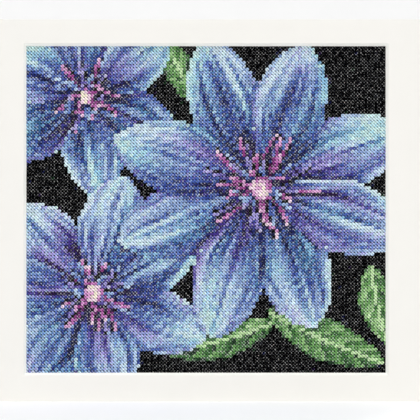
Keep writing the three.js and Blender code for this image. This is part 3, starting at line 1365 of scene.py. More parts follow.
@dataclass
class CrossStitcher:
    """Works the chart in crosses of two-stranded cotton."""

    chart: Chart
    planes: Planes
    hole_inset: float = 0.20 * MM
    half_width: float = 0.37 * MM
    half_height: float = 0.165 * MM
    spread: float = 0.36 * MM
    end_share: float = 0.30
    fade: float = 0.11
    sides: int = 6
    unevenness: float = 0.03 * MM
    fullness: int = 5
    turned: float = 0.35
    twisted: float = 0.5
    roll: float = 0.05 * MM
    lift_spread: float = 0.05
    girth_spread: float = 0.07
    seed: int = 41

    PATTERNS = 50  # how far apart two strands' grain may be read
    # painted shade: under legs are darkened as if in the over legs' shade, and over legs lightened
    LEG_PAINTED_SHADE = {Leg.UNDER: 0.88, Leg.OVER: 1.08}  # the under legs lie in the over legs' shade
    STOPS = {Leg.UNDER: (0.0, 0.2, 0.8, 1.0), Leg.OVER: (0.0, 0.16, 0.36, 0.64, 0.84, 1.0)}
    LIFTS = {
        Leg.UNDER: (0.04 * MM, 0.20 * MM, 0.20 * MM, 0.04 * MM),
        Leg.OVER: (0.04 * MM, 0.30 * MM, 0.58 * MM, 0.58 * MM, 0.30 * MM, 0.04 * MM),
    }

    def work(self, number: int, name: str, material: bpy.types.Material) -> bpy.types.Object:
        """Works one area of the chart.

        Args:
            number: The area's number in the chart.
            name: The piece's name.
            material: The cotton.

        Returns:
            The area's stitches, as one object.
        """
        rows, columns = np.nonzero(self.chart.area == number)
        draw = np.random.default_rng(self.seed + number)
        builder = MeshBuilder()
        card = np.array([shade.linear for shade in SHADES])
        colours, lays = [], []
        for leg in Leg:
            for side, codes in ((-1, self.chart.first), (1, self.chart.second)):
                rings, lay = self.strands(leg, side, rows, columns, draw)
                self.add_strands(builder, rings)
                shades = card[codes[rows, columns]][:, None]
                # each strand's tone is its leg's painted shade, times a random difference from strand to
                # strand
                tone = draw.normal(self.LEG_PAINTED_SHADE[leg], self.fade, (len(rows), 1, 1))
                colours.append(np.broadcast_to(shades * tone, lay.shape).reshape(-1, 3))
                lays.append(lay.reshape(-1, 3))
        piece = builder.build(name, [material])
        self.dress(piece, np.concatenate(colours), np.concatenate(lays))
        return piece

    def strands(
        self, leg: Leg, side: int, rows: np.ndarray, columns: np.ndarray, draw: np.random.Generator
    ) -> tuple[np.ndarray, np.ndarray]:
        """Shapes one strand of one leg in every cross of an area.

        Args:
            leg: Which leg.
            side: Which of its two strands, -1 or 1.
            rows: The crosses' rows.
            columns: The crosses' columns.
            draw: What their small differences are drawn from.

        Returns:
            The rings of points, by cross, stop and corner, and for each point the place round the
            strand, the place along it and the strand's own number.
        """
        stops = np.array(self.STOPS[leg])
        many = len(rows)
        middle = np.stack([self.chart.x[rows, columns], self.chart.z[rows, columns]], 1) * MM
        middle[:, 1] += self.planes.middle_z
        ahead = np.array([1.0, leg.value]) / math.sqrt(2)
        aside = np.array([-ahead[1], ahead[0]])
        reach = PITCH / math.sqrt(2) - self.hole_inset
        bulge = 1 - np.abs(2 * stops - 1) ** self.fullness
        share = self.end_share + (1 - self.end_share) * bulge
        along = (2 * stops - 1) * reach
        sway = draw.normal(0, self.unevenness, (many, 1)) * bulge
        turned = draw.normal(0, self.turned, (many, 1))
        twist = turned + draw.normal(0, self.twisted, (many, 1)) * (2 * stops - 1)
        off = side * self.spread * share * np.cos(twist) + sway
        lift = np.array(self.LIFTS[leg]) * draw.normal(1, self.lift_spread, (many, 1))
        lift = lift + side * np.sin(twist) * self.roll * bulge
        girth = draw.normal(1, self.girth_spread, (many, 1)) * share
        slope = np.gradient(lift, along, axis=1)
        tilt = 1 / np.sqrt(1 + slope**2)
        angle = 2 * math.pi * np.arange(self.sides) / self.sides - math.pi / 2
        wide = (girth * self.half_width)[:, :, None] * np.cos(angle)
        high = (girth * self.half_height)[:, :, None] * np.sin(angle)
        length = along[None, :, None] - high * (slope * tilt)[:, :, None]
        width = off[:, :, None] + wide
        height = lift[:, :, None] + high * tilt[:, :, None]
        points = np.empty((many, len(stops), self.sides, 3))
        points[..., 0] = middle[:, 0, None, None] + ahead[0] * length + aside[0] * width
        points[..., 2] = middle[:, 1, None, None] + ahead[1] * length + aside[1] * width
        points[..., 1] = self.planes.cloth_front - np.maximum(height, 0.0)
        lay = np.empty((many, len(stops), self.sides, 3))
        outward = side * (angle + math.pi / 2) % (2 * math.pi)
        lay[..., 0] = outward * self.half_width / MM
        lay[..., 1] = (along / MM)[None, :, None]
        lay[..., 2] = draw.uniform(0, self.PATTERNS, (many, 1, 1))
        return points, lay.reshape(many, -1, 3)

    def add_strands(self, builder: MeshBuilder, rings: np.ndarray) -> None:
        """Skins rings of points into closed strands.

        Args:
            builder: What gathers the mesh.
            rings: The points, by strand, ring and corner.
        """
        many, stops, sides, _ = rings.shape
        first = builder.add_points(rings.reshape(-1, 3))
        start = first + np.arange(many)[:, None] * stops * sides
        corner = np.arange(sides)
        after = (corner + 1) % sides
        for k in range(stops - 1):
            near, far = k * sides, (k + 1) * sides
            quads = np.stack([near + corner, near + after, far + after, far + corner], 1)
            builder.add_faces((start[:, :, None] + quads[None]).reshape(-1, 4))
        builder.add_faces(start + corner[::-1])
        builder.add_faces(start + (stops - 1) * sides + corner)

    @staticmethod
    def dress(piece: bpy.types.Object, colours: np.ndarray, lays: np.ndarray) -> None:
        """Stores each strand's shade, the way that its fibres lie, and a flat map of the area.

        Args:
            piece: The stitches.
            colours: The shade at each point.
            lays: The place round and along the strand at each point.
        """
        mesh = piece.data
        shade = mesh.color_attributes.new(FlossFinish.COLOUR, "FLOAT_COLOR", "POINT")
        opaque = np.concatenate([colours, np.ones((len(colours), 1))], axis=1)
        shade.data.foreach_set("color", opaque.ravel())
        lay = mesh.attributes.new(FlossFinish.LAY, "FLOAT_VECTOR", "POINT")
        lay.data.foreach_set("vector", lays.ravel())
        points = np.empty(len(mesh.vertices) * 3)
        mesh.vertices.foreach_get("co", points)
        flat = points.reshape(-1, 3)[:, (0, 2)]
        low, high = flat.min(0), flat.max(0)
        share = (flat - low) / (high - low)
        corners = np.empty(len(mesh.loops), int)
        mesh.loops.foreach_get("vertex_index", corners)
        mesh.uv_layers.new(name="OFBake").data.foreach_set("uv", share[corners].ravel())


# ---- The window mount ----


@dataclass
class WindowMount:
    """The window mount: a frame of board with a bevelled window."""

    planes: Planes
    window_half: tuple[float, float] = (98.75 * MM, 89.75 * MM)
    facing: float = 0.22 * MM
    arris: float = 0.05 * MM
    step: float = 6 * MM
    hollow: float = 0.02 * MM
    waver: float = 0.02 * MM
    seed: int = 7

    PAPER = 0
    CORE = 1

    def outline(self, low: tuple[float, float], high: tuple[float, float], y: float) -> list[np.ndarray]:
        """Walks round a rectangle.

        Args:
            low: Its lowest x and z.
            high: Its highest x and z.
            y: Its plane.

        Returns:
            The points of its four sides, each from one corner to the next.
        """
        corners = [(low[0], low[1]), (high[0], low[1]), (high[0], high[1]), (low[0], high[1])]
        sides = []
        for a, b in zip(corners, corners[1:] + corners[:1]):
            many = round(math.dist(a, b) / self.step)
            t = np.linspace(0, 1, many + 1)[:, None]
            flat = np.array(a) * (1 - t) + np.array(b) * t
            sides.append(np.insert(flat, 1, y, axis=1))
        return sides

    def outer_ring(self, inset: float, y: float) -> list[np.ndarray]:
        """Walks round the board's outer edge."""
        across, top = self.planes.outer
        return self.outline((inset - across, inset), (across - inset, top - inset), y)

    def window_ring(self, grow: float, y: float) -> list[np.ndarray]:
        """Walks round the window, with the faint waver of a hand-held blade.

        Args:
            grow: How far outside the window.
            y: The plane.

        Returns:
            The points of its four sides.
        """
        across, up = self.window_half
        middle = self.planes.middle_z
        low, high = (-across - grow, middle - up - grow), (across + grow, middle + up + grow)
        sides = self.outline(low, high, y)
        draw = np.random.default_rng(self.seed)
        for number, side in enumerate(sides):
            waver = draw.normal(0, self.waver, len(side) - 2)
            side[1:-1, 2 if number % 2 == 0 else 0] += waver
        return sides

    def build(self) -> bpy.types.Object:
        """Builds the mount.

        Returns:
            The mount.
        """
        builder = MeshBuilder()
        front, back = self.planes.front, self.planes.mount_back
        depth = back - front
        thin, arris = self.facing, self.arris
        outer = [
            (arris, front, self.PAPER),
            (0.0, front + arris, self.PAPER),
            (0.0, front + thin, self.CORE),
            (self.hollow, front + depth / 2, self.CORE),
            (0.0, back - thin, self.PAPER),
            (0.0, back - arris, self.PAPER),
            (arris, back, self.PAPER),
        ]
        window = [
            (depth + arris, front, self.PAPER),
            (depth - arris / 2, front + arris / 2, self.PAPER),
            (depth - thin, front + thin, self.CORE),
            (thin, back - thin, self.PAPER),
            (arris, back - arris, self.PAPER),
            (arris, back, self.PAPER),
        ]
        self.skin(builder, self.outer_ring, outer)
        self.skin(builder, self.window_ring, window)
        for inset, grow, y in ((arris, depth + arris, front), (arris, arris, back)):
            for edge, hole in zip(self.outer_ring(inset, y), self.window_ring(grow, y)):
                builder.add_polygon(np.concatenate([edge, hole[::-1]]), self.PAPER)
        materials = [MOUNT_PAPER.material(), MOUNT_CORE.material()]
        return builder.build("bevelled_window_mount", materials, weld=WELD)

    @staticmethod
    def skin(
        builder: MeshBuilder,
        ring: Callable[[float, float], list[np.ndarray]],
        steps: list[tuple[float, float, int]],
    ) -> None:
        """Joins rings round the board into its cut edges.

        Args:
            builder: What gathers the mesh.
            ring: Gives the ring for an inset and a plane.
            steps: The inset, the plane and the material after each ring.
        """
        for (inset, y, slot), (next_inset, next_y, _) in zip(steps, steps[1:]):
            for near, far in zip(ring(inset, y), ring(next_inset, next_y)):
                builder.add_grid([near, far], slot, smooth=False)


# ---- Foam boards ----


@dataclass
class FoamBoard:
    """A rectangle of foam board: two papers on a core that the knife leaves a little rough."""

    node: str
    paper: bpy.types.Material
    core: bpy.types.Material
    paper_thickness: float = 0.35 * MM
    step: float = 2.5 * MM
    core_inset: float = 0.10 * MM
    roughness: float = 0.05 * MM
    core_rows: int = 5
    blunt: float = 0.14 * MM

    def ring(self, inset: float, y: float, rough: np.ndarray | float = 0.0) -> np.ndarray:
        """Walks round the board.

        Args:
            inset: How far inside its outline.
            y: The plane.
            rough: What is added to the inset at each point.

        Returns:
            The points, in order.
        """
        low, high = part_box(self.node)
        wide, tall = high.x - low.x, high.z - low.z
        across = max(2, round(wide / self.step))
        up = max(2, round(tall / self.step))
        s = np.linspace(-1, 1, across + 1)
        t = np.linspace(-1, 1, up + 1)
        flat = np.concatenate(
            [
                np.stack([s[:-1], np.full(across, -1.0)], 1),
                np.stack([np.ones(up), t[:-1]], 1),
                np.stack([s[:0:-1], np.ones(across)], 1),
                np.stack([np.full(up, -1.0), t[:0:-1]], 1),
            ]
        )
        half = np.array([wide, tall]) / 2
        inward = np.where(np.abs(flat) == 1, np.sign(flat), 0.0)
        amount = np.reshape(inset + np.asarray(rough), (-1, 1))
        middle = np.array([(low.x + high.x) / 2, (low.z + high.z) / 2])
        return np.insert(flat * half - inward * amount + middle, 1, y, axis=1)

    def build(self, name: str) -> bpy.types.Object:
        """Builds the board.

        Args:
            name: The piece's name.

        Returns:
            The board.
        """
        low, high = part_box(self.node)
        many = len(self.ring(0.0, low.y))
        draw = np.random.default_rng(many)
        edge = [(self.blunt, 0.0), (0.0, self.blunt), (0.0, self.paper_thickness)]
        faces = [self.ring(inset, low.y + depth) for inset, depth in edge]
        backs = [self.ring(inset, high.y - depth) for inset, depth in reversed(edge)]
        core = []
        for k in range(self.core_rows):
            height = high.y - low.y - 2 * self.paper_thickness
            y = low.y + self.paper_thickness + height * (k + 0.5) / self.core_rows
            core.append(self.ring(self.core_inset, y, draw.normal(0, self.roughness / 2, many)))
        builder = MeshBuilder()
        builder.add_grid(faces, 0, smooth=False, closed=True)
        builder.add_grid([faces[-1], *core, backs[0]], 1, smooth=False, closed=True)
        builder.add_grid(backs, 0, smooth=False, closed=True)
        builder.add_polygon(faces[0], 0)
        builder.add_polygon(backs[-1], 0)
        return builder.build(name, [self.paper, self.core], weld=WELD)


# ---- The cloth ----


class Side(Enum):
    """The cloth's sides, in the order of a clock's hand as seen from behind."""

    TOP = 0
    LEFT = 1
    BOTTOM = 2
    RIGHT = 3

    @property
    def axis(self) -> int:
        """The axis that the side runs along: 0 is x, and 1 is z."""
        return self.value % 2

    @property
    def inward(self) -> int:
        """Which way its flap points along the other axis, -1 or 1."""
        return -1 if self in (Side.TOP, Side.RIGHT) else 1


@dataclass
class AidaCloth:
    """The cloth: flat over the board's front, turned round its edges, with mitred flaps behind."""

    planes: Planes
    builder: MeshBuilder = field(default_factory=MeshBuilder)
    flap: float = 30 * MM
    rounding: float = 0.6 * MM
    weave: float = 0.05 * MM
    draw_in: float = 0.7 * MM
    pull_reach: float = 3.5 * MM
    still: float = 0.3
    lift: float = 0.15 * MM
    lift_length: float = 2.6 * MM
    mitre_sink: float = 0.12 * MM
    under_gap: float = 0.02 * MM
    fray: float = 1.5 * MM
    fray_least: float = 0.2
    fray_heights: tuple[float, float] = (0.15 * MM, 0.4 * MM)
    fray_lean: float = 0.35
    fray_root: float = 0.3 * MM
    fray_drop: float = 0.1 * MM
    yarn: float = 0.13 * MM
    hole: float = 0.17 * MM
    # the worked cloth's holes are painted wider, so that more of it shows painted shade
    worked_hole: float = 0.46 * MM
    seed: int = 900

    WORKED = 1
    STEP = PITCH / 2
    ARC_POINTS = 4
    HOLE_RELIEF = -0.75  # in shares of the weave's relief
    BLOCK_RELIEF = 0.2
    FLOAT_RELIEF = -0.15
    TAPER = (1.0, 0.9, 0.45)

    def build(self, lacings: list["LacingThread"]) -> bpy.types.Object:
        """Builds the cloth.

        Args:
            lacings: The threads whose stitches pull at the flaps.

        Returns:
            The cloth.
        """
        planes = self.planes
        rows = int(self.flap / self.STEP)
        fronts = []
        for turn in np.linspace(0, math.pi / 2, self.ARC_POINTS):
            inset = self.rounding * (1 - math.sin(turn))
            fronts.append((inset, planes.cloth_front + self.rounding * (1 - math.cos(turn))))
        backs = [(inset, planes.flap_back + planes.cloth_front - y) for inset, y in reversed(fronts)]
        walls = fronts + backs
        front_ring = []
        for side in Side:
            flap_rows = [self.flap_row(side, j, lacings) for j in range(rows + 1)]
            strips = [self.row(side, 0, inset, y) for inset, y in walls[:-1]]
            self.builder.add_grid([*strips, flap_rows[0]])
            front_ring.append(strips[0][:-1])
            for outer, inner in zip(flap_rows, flap_rows[1:]):
                self.join_rows(outer, inner)
            self.close_flap(side, flap_rows[-1])
            self.add_frayed_edge(side, flap_rows[-1])
        self.builder.add_polygon(np.concatenate(front_ring), self.WORKED)
        self.add_lining()
        bare = AidaFinish(name="aida_cloth", hole=self.hole, middle_z=planes.middle_z)
        # the worked cloth's holes carry a dark blue painted shade
        worked = AidaFinish(
            name="worked_aida_cloth",
            hole=self.worked_hole,
            middle_z=planes.middle_z,
            hole_shadow_tint="0e1226",
        )
        materials = [bare.material(), worked.material()]
        return self.builder.build("laced_aida_cloth", materials, weld=WELD)

    def corner_places(self, side: Side, inset: float) -> tuple[np.ndarray, np.ndarray]:
        """Gives a side's two corners, in x and z.

        Args:
            side: The side.
            inset: How far inside the panel's outline.

        Returns:
            The first corner and the last.
        """
        across, up = self.planes.panel_half - Vector((inset, inset))
        corners = [(across, up), (-across, up), (-across, -up), (across, -up)]
        lift = np.array([0.0, self.planes.middle_z])
        first, last = corners[side.value], corners[(side.value + 1) % len(corners)]
        return np.array(first) + lift, np.array(last) + lift

    def row(self, side: Side, dropped: int, inset: float, y: float) -> np.ndarray:
        """Lays points along a side, on the weave's half steps, with a point at each corner.

        Args:
            side: The side.
            dropped: How many points fewer it has at each end than the outline.
            inset: How far inside the outline.
            y: Its plane.

        Returns:
            The points.
        """
        axis = side.axis
        count = int(self.planes.panel_half[axis] / self.STEP) - dropped
        first, last = self.corner_places(side, inset)
        sign = 1 if last[axis] > first[axis] else -1
        along = np.arange(-count, count + 1) * self.STEP * sign
        middle = self.planes.middle_z if axis == 1 else 0.0
        points = np.empty((len(along) + 2, 3))
        points[:, 1] = y
        points[0, (0, 2)] = first
        points[-1, (0, 2)] = last
        points[1:-1, 2 * axis] = along + middle
        points[1:-1, 2 - 2 * axis] = first[1 - axis]
        return points

    def flap_row(self, side: Side, j: int, lacings: list["LacingThread"]) -> np.ndarray:
        """Lays a row of a flap, with the weave's relief and the pull of the lacing.

        Args:
            side: The flap's side.
            j: The row, counted from the fold.
            lacings: The threads whose stitches pull at the flap.

        Returns:
            The points.
        """
        down = j * self.STEP
        inset = self.rounding + down * (1 - self.rounding / self.flap)
        points = self.row(side, j, inset, self.planes.flap_back)
        along = points[:, 2 * side.axis] - (self.planes.middle_z if side.axis == 1 else 0.0)
        odd = np.abs(np.round(along / self.STEP)) % 2 == 1
        if j % 2 == 0:
            relief = np.where(odd, self.FLOAT_RELIEF, self.HOLE_RELIEF)
        else:
            relief = np.where(odd, self.BLOCK_RELIEF, self.FLOAT_RELIEF)
        near_edge = (down / self.flap) ** 3
        pull = np.zeros(len(points))
        for lacing in lacings:
            if lacing.axis == side.axis:
                for bite in lacing.bites(side in (Side.TOP, Side.RIGHT)):
                    pull += ridge(along, bite, self.pull_reach)
        pull = np.minimum(pull, 1.0)
        lift = self.lift * (1 - pull) * near_edge * np.sin(along / self.lift_length) ** 2
        points[1:-1, 1] += (self.weave * relief)[1:-1] + lift[1:-1]
        drawn = side.inward * self.draw_in * near_edge * (pull - self.still)
        points[1:-1, 2 - 2 * side.axis] += drawn[1:-1]
        if j:
            points[(0, -1), 1] -= self.mitre_sink
        return points

    def join_rows(self, outer: np.ndarray, inner: np.ndarray) -> None:
        """Joins a flap's row to the next, which has one point fewer at each end.

        Args:
            outer: The row nearer the fold.
            inner: The row nearer the raw edge.
        """
        builder = self.builder
        a = builder.add_points(outer)
        b = builder.add_points(inner)
        many = len(inner)
        k = np.arange(1, many - 2)
        builder.add_faces(np.stack([a + k + 1, a + k + 2, b + k + 1, b + k], 1))
        builder.add_faces([a + 1, a + 2, b + 1, b])
        builder.add_faces([a, a + 1, b])
        end = a + len(outer) - 1
        builder.add_faces([end - 2, end - 1, b + many - 1, b + many - 2])
        builder.add_faces([end - 1, end, b + many - 1])

    def close_flap(self, side: Side, edge: np.ndarray) -> None:
        """Closes a flap at its raw edge and underneath.

        Args:
            side: The flap's side.
            edge: The last row.
        """
        board_back = self.planes.board_back
        under = edge.copy()
        under[:, 1] = board_back + self.under_gap
        self.builder.add_grid([edge, under])
        first, last = self.corner_places(side, self.planes.flap_back - board_back)
        outer = [(x, board_back, z) for x, z in (last, first)]
        self.builder.add_polygon(np.concatenate([under, outer]))

    def add_lining(self) -> None:
        """Adds the cloth's inner face against the board's front and edges."""
        planes = self.planes
        thickness = planes.flap_back - planes.board_back
        corners = [self.corner_places(side, thickness)[0] for side in Side]
        near = [(x, planes.board_front, z) for x, z in corners]
        far = [(x, planes.board_back, z) for x, z in corners]
        self.builder.add_polygon(near)
        for k, after in ((0, 1), (1, 2), (2, 3), (3, 0)):
            self.builder.add_polygon([near[k], near[after], far[after], far[k]])

    def add_frayed_edge(self, side: Side, edge: np.ndarray) -> None:
        """Adds the ends of yarn that stick out of a raw edge.

        Args:
            side: The flap's side.
            edge: The flap's last row.
        """
        draw = np.random.default_rng(self.seed + side.value)
        axis = side.axis
        many = 2 * (len(edge) - 3)
        place = draw.uniform(1, len(edge) - 2, many)
        floor = np.floor(place).astype(int)
        share = (place - floor)[:, None]
        roots = edge[floor] * (1 - share) + edge[floor + 1] * share
        roots[:, 1] = self.planes.board_back + draw.uniform(*self.fray_heights, many)
        reach = draw.uniform(self.fray_least, 1.0, many) ** 2 * self.fray
        lean = draw.normal(0, self.fray_lean, many)
        for k in range(many):
            tip = roots[k].copy()
            tip[2 - 2 * axis] += side.inward * reach[k]
            tip[2 * axis] += lean[k] * reach[k]
            tip[1] = max(self.planes.board_back + self.yarn, tip[1] - self.fray_drop)
            root = roots[k].copy()
            root[2 - 2 * axis] -= side.inward * self.fray_root
            self.add_yarn(root, tip, axis)

    def add_yarn(self, root: np.ndarray, tip: np.ndarray, axis: int) -> None:
        """Adds one end of yarn.

        Args:
            root: Where it leaves the cloth.
            tip: Its end.
            axis: The axis that runs along the edge.
        """
        aside = np.zeros(3)
        aside[2 * axis] = 1.0
        up = np.array([0.0, 1.0, 0.0])
        corners = [aside, up, -aside, -up]
        rings = []
        for point, girth in zip((root, (root + tip) / 2, tip), self.TAPER):
            rings.append(np.array([point + c * self.yarn * girth for c in corners]))
        self.builder.add_tube(rings)


# ---- The lacing ----


@dataclass
class LacingThread:
    """A three-ply thread that zigzags between two flaps, with a knot at each end."""

    node: str
    planes: Planes
    spans: int
    axis: int
    step: float = 12 * MM
    bite: float = 4 * MM
    radius: float = 0.29 * MM
    turn: float = 2.3 * MM
    ring_step: float = 0.36 * MM
    sides: int = 9
    plies: int = 3
    ply_depth: float = 0.18
    corner_cut: float = 0.25
    corner_rounds: int = 2
    knot_size: float = 0.52 * MM
    knot_gap: float = 0.5
    knot_points: int = 26
    knot_rise: float = 0.9
    tail: tuple[float, float] = (2.5 * MM, 4 * MM)

    # How high the thread is over a flap at places along a span: 0 under the cloth, 1 over it.
    COURSE = ((0.0, 0.0), (0.008, 0.55), (0.022, 1.0), (0.5, 1.0), (0.978, 1.0), (0.992, 0.55), (1.0, 0.0))

    @property
    def first(self) -> float:
        """Where the first span starts, along the flaps."""
        return -self.spans * self.step / 2

    def bites(self, high_side: bool) -> list[float]:
        """Lists where its stitches lie along the upper or right flap, or else along the other."""
        spans = range(0 if high_side else 1, self.spans, 2)
        return [self.first + i * self.step + self.step - self.bite / 2 for i in spans]

    def path(self) -> np.ndarray:
        """Lays the thread's middle line.

        Returns:
            Its points, by place along the flaps, place across them and height off the picture's back.
        """
        low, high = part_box(self.node)
        over = (low.y + high.y) / 2
        under = (self.planes.board_back + self.planes.flap_back) / 2
        reach = (high.z - low.z) / 2 if self.axis == 0 else (high.x - low.x) / 2
        points: list[tuple[float, float, float]] = []
        for i in range(self.spans):
            side = 1 if i % 2 == 0 else -1
            along = self.first + i * self.step
            start = np.array([along, -side * reach])
            end = np.array([along + self.step - self.bite, side * reach])
            for t, level in self.COURSE:
                place = start * (1 - t) + end * t
                points.append((place[0], place[1], under + (over - under) * level))
            points.append((end[0] + self.bite / 2, end[1], under))
        return np.array(points[:-1])

    def world(self, points: np.ndarray) -> np.ndarray:
        """Turns the middle line's points into the picture's frame."""
        flat = points[:, (0, 1)] if self.axis == 0 else points[:, (1, 0)]
        return np.stack([flat[:, 0], points[:, 2], flat[:, 1] + self.planes.middle_z], 1)

    def knot(self, at: np.ndarray, heading: float) -> np.ndarray:
        """Ties the knot that ends the thread.

        Args:
            at: Where the thread arrives, in the picture's frame.
            heading: Which way its tail points along the flap, -1 or 1.

        Returns:
            The middle line of the knot and its tail.
        """
        size = self.knot_size
        rise = size * self.knot_rise
        t = np.linspace(self.knot_gap, 2 * math.pi - self.knot_gap, self.knot_points)
        across = size * (np.sin(t) + 2 * np.sin(2 * t))
        along = size * (np.cos(t) - 2 * np.cos(2 * t))
        lifted = self.planes.flap_back + self.radius + rise
        points = np.stack([across, lifted - rise * np.sin(3 * t), along], 1)
        points[:, 0] += at[0]
        points[:, 2] += at[2]
        out, away = self.tail
        tail_end = (points[-1][0] + out, lifted - rise, points[-1][2] + heading * away)
        return np.concatenate([points, [tail_end]])

    def build(self, name: str, material: bpy.types.Material) -> bpy.types.Object:
        """Builds the thread.

        Args:
            name: The piece's name.
            material: The linen.

        Returns:
            The thread.
        """
        points = self.world(self.path())
        start = self.knot(points[0], 1)[::-1]
        end = self.knot(points[-1], -1)
        line = self.resample(np.concatenate([start, points, end]))
        builder = MeshBuilder()
        builder.add_tube(self.rings(line))
        steps = np.linalg.norm(np.diff(line, axis=0), axis=1)
        LOG.info("%s is %.2f m long", name, steps.sum())
        return builder.build(name, [material])

    def resample(self, points: np.ndarray) -> np.ndarray:
        """Rounds a path's corners and spaces its points evenly.

        Args:
            points: The path's corners.

        Returns:
            The points of the thread's middle line.
        """
        cut = self.corner_cut
        for _ in range(self.corner_rounds):
            near = points[:-1] * (1 - cut) + points[1:] * cut
            far = points[:-1] * cut + points[1:] * (1 - cut)
            between = np.stack([near, far], 1).reshape(-1, 3)
            points = np.concatenate([points[:1], between, points[-1:]])
        steps = np.linalg.norm(np.diff(points, axis=0), axis=1)
        reached = np.concatenate([[0.0], np.cumsum(steps)])
        wanted = np.linspace(0, reached[-1], round(reached[-1] / self.ring_step))
        return np.stack([np.interp(wanted, reached, points[:, k]) for k in range(3)], 1)

    def rings(self, line: np.ndarray) -> list[np.ndarray]:
        """Twists three plies round the middle line.

        Args:
            line: The middle line.

        Returns:
            The rings of points.
        """
        ahead = np.gradient(line, axis=0)
        ahead /= np.linalg.norm(ahead, axis=1)[:, None]
        up = np.array([0.0, 1.0, 0.0])
        aside = np.cross(ahead, up)
        aside /= np.maximum(np.linalg.norm(aside, axis=1), 1e-6)[:, None]
        above = np.cross(aside, ahead)
        angle = 2 * math.pi * np.arange(self.sides) / self.sides
        lobes = 1 - self.ply_depth + self.ply_depth * np.cos(self.plies * angle)
        phase = 2 * math.pi * np.arange(len(line)) * self.ring_step / self.turn
        rings = []
        for k, point in enumerate(line):
            around = angle + phase[k]
            out = np.outer(np.cos(around), aside[k]) + np.outer(np.sin(around), above[k])
            rings.append(point + out * (self.radius * lobes)[:, None])
        return rings


# ---- The studio ----


@dataclass(frozen=True)
class Sun:
    """A soft light from far away, so that it falls evenly."""

    name: str
    height: float  # degrees over the horizon
    turn: float  # degrees to the right of the camera
    strength: float  # watts for each square metre

    ANGLE = math.radians(14)


SUNS = (
    Sun("key_light", height=28, turn=8, strength=0.58),
    Sun("back_light", height=35, turn=160, strength=0.5),
    Sun("front_light", height=21, turn=-4, strength=0.52),
)


@dataclass
class Studio:
    """The floor, the backdrop, the lights and the camera."""

    planes: Planes
    camera_distance: float = 1.2
    view_width: float = 231.06 * MM
    aim_x: float = 2.2 * MM
    aim_z: float = 105.2 * MM
    sensor: float = 36.0
    far: float = 50.0
    floor_radius: float = 2.4
    curve: float = 0.7
    backdrop_height: float = 0.75
    arc_points: int = 12
    points_round: int = 96
    panel_size: float = 1.0
    top_light: tuple[float, float, float] = (0.0, -0.40, 1.6)
    top_power: float = 15
    backdrop_light_reach: float = 1.3
    backdrop_light_height: float = 1.8
    backdrop_light_tilt: float = 50
    daylight: float = 0.36

    BACKDROP_POWERS = {"back": 6.0, "left": 8.0, "front": 8.0, "right": 8.0}

    def add_camera(self) -> None:
        """Adds the camera, which looks straight at the picture."""
        data = bpy.data.cameras.new("camera")
        data.sensor_width = self.sensor
        data.lens = self.sensor * self.camera_distance / self.view_width
        data.clip_end = self.far
        camera = bpy.data.objects.new("camera", data)
        camera.location = (self.aim_x, self.planes.mount_back - self.camera_distance, self.aim_z)
        camera.rotation_euler = (math.pi / 2, 0, 0)
        bpy.context.scene.collection.objects.link(camera)
        bpy.context.scene.camera = camera

    def add_floor(self) -> None:
        """Adds the round floor, which curves up into a low backdrop well away from the picture."""
        profile = []
        for turn in np.linspace(0, math.pi / 2, self.arc_points):
            radius = self.floor_radius + self.curve * math.sin(turn)
            profile.append((radius, self.curve * (1 - math.cos(turn))))
        profile.append((self.floor_radius + self.curve, self.backdrop_height))
        angle = np.linspace(0, 2 * math.pi, self.points_round, endpoint=False)
        circle = np.stack([np.cos(angle), np.sin(angle)], 1)
        rows = [np.insert(circle * radius, 2, z, axis=1) for radius, z in profile]
        builder = MeshBuilder()
        builder.add_grid(rows, closed=True)
        builder.add_polygon(rows[0])
        floor = builder.build("studio_floor", [FLOOR.material()])

    def add_sun(self, sun: Sun) -> None:
        """Adds a sun.

        Args:
            sun: The sun.
        """
        data = bpy.data.lights.new(sun.name, "SUN")
        data.angle = sun.ANGLE
        data.energy = sun.strength
        self.add_light(data, (0, 0, 0), math.radians(90 - sun.height), math.radians(sun.turn))

    def add_panel(
        self, name: str, place: tuple[float, ...], power: float, tilt: float = 0.0, turn: float = 0.0
    ) -> None:
        """Adds a square light panel.

        Args:
            name: The light's name.
            place: Where it hangs.
            power: Its power in watts.
            tilt: How far it leans back from pointing straight down, in degrees.
            turn: How far it is turned about the upright axis, in radians.
        """
        data = bpy.data.lights.new(name, "AREA")
        data.size = self.panel_size
        data.energy = power
        self.add_light(data, place, math.radians(tilt), turn)

    @staticmethod
    def add_light(data: bpy.types.Light, place: tuple[float, ...], tilt: float, turn: float) -> None:
        """Puts a light in the scene.

        Args:
            data: The light.
            place: Where it stands.
            tilt: How far it leans back from pointing straight down, in radians.
            turn: How far it is turned about the upright axis, in radians.
        """
        light = bpy.data.objects.new(data.name, data)
        light.location = place
        light.rotation_euler = (tilt, 0, turn)
        bpy.context.scene.collection.objects.link(light)

    def add_lights(self) -> None:
        """Adds the suns, a panel overhead, four that light the backdrop, and pale light all round."""
        for sun in SUNS:
            self.add_sun(sun)
        self.add_panel("top_light", self.top_light, self.top_power)
        reach = self.backdrop_light_reach
        for quarter, (side, power) in enumerate(self.BACKDROP_POWERS.items()):
            turn = quarter * math.pi / 2
            place = (-reach * math.sin(turn), reach * math.cos(turn), self.backdrop_light_height)
            self.add_panel(f"{side}_backdrop_light", place, power, self.backdrop_light_tilt, turn)
        world = bpy.data.worlds.new("studio")
        bpy.context.scene.world = world
        world.use_nodes = True
        background = world.node_tree.nodes["Background"]
        background.inputs["Color"].default_value = (1.0, 1.0, 1.0, 1.0)
        background.inputs["Strength"].default_value = self.daylight

    def build(self) -> None:
        """Sets up the studio and plain colour handling."""
        self.add_camera()
        self.add_floor()
        self.add_lights()
        bpy.context.scene.view_settings.view_transform = "Standard"


# ---- The whole picture ----


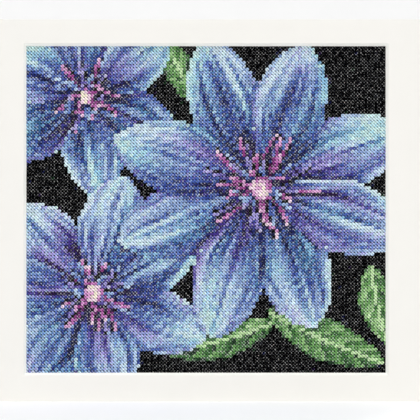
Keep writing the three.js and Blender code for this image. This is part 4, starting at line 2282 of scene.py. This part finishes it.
def work_stitching(frame: dict[str, Any], planes: Planes, slots: dict[str, str]) -> None:
    """Works every area of the chart and puts it in its node's place.

    Args:
        frame: The loaded frame.
        planes: The frame's planes.
        slots: The record's material slot for each node.
    """
    ending = "_stitches"
    nodes = {name: node for name, node in frame["nodes"].items() if name.endswith(ending)}
    slabs = {name.removesuffix(ending): node for name, node in nodes.items()}
    chart = Chart(slabs, planes.middle_z)
    stitcher = CrossStitcher(chart, planes)
    used = sorted({slots[node.name] for node in slabs.values()})
    cottons = {slot: FlossFinish.for_slot(slot).material() for slot in used}
    for number, (area, node) in enumerate(slabs.items()):
        slot = slots[node.name]
        piece = stitcher.work(number, f"{area}_crosses", cottons[slot])
        place_piece(piece, (node.name,))


def build_boards() -> None:
    """Builds the lacing board and the packing strips.
    """
    paper = BOARD_PAPER.material()
    core = FoamFinish().material()
    sides = ("top", "bottom", "left", "right")
    strips = [f"{layer}_strip_{side}" for layer in ("front", "back") for side in sides]
    for node in ["lacing_board", *strips]:
        piece = FoamBoard(node, paper, core).build(f"{node}_board")
        place_piece(piece, (node,))


def build_panel(planes: Planes) -> None:
    """Builds the cloth and the threads that lace it.

    Args:
        planes: The frame's planes.
    """
    lacings = [
        LacingThread("lacing_upright", planes, spans=16, axis=0),
        LacingThread("lacing_level", planes, spans=14, axis=1),
    ]
    cloth = AidaCloth(planes)
    piece = cloth.build(lacings)
    place_piece(piece, ("aida_cloth",))
    linen = LINEN.material()
    for lacing in lacings:
        thread = lacing.build(f"{lacing.node}_thread", linen)
        place_piece(thread, (lacing.node,))


def dress_tapes(frame: dict[str, Any]) -> None:
    """Gives the mounting tapes their finish.

    Args:
        frame: The loaded frame.
    """
    material = TAPE.material()
    for name, node in frame["nodes"].items():
        if name.startswith("mounting_tape"):
            for slot in node.material_slots:
                slot.material = material
            LOG.info("%s dressed", name)


def main() -> None:
    """Builds the picture round the frame, piece by piece."""
    logging.basicConfig(level=logging.INFO, format="%(name)s: %(message)s")
    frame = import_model()
    planes = Planes()
    slots = {part["node"]: part["material_slot"] for part in frame["record"]["subparts"]}
    Studio(planes).build()
    mount = WindowMount(planes).build()
    place_piece(mount, ("window_mount",))
    build_boards()
    build_panel(planes)
    dress_tapes(frame)
    work_stitching(frame, planes, slots)


if __name__ == "__main__":
    main()
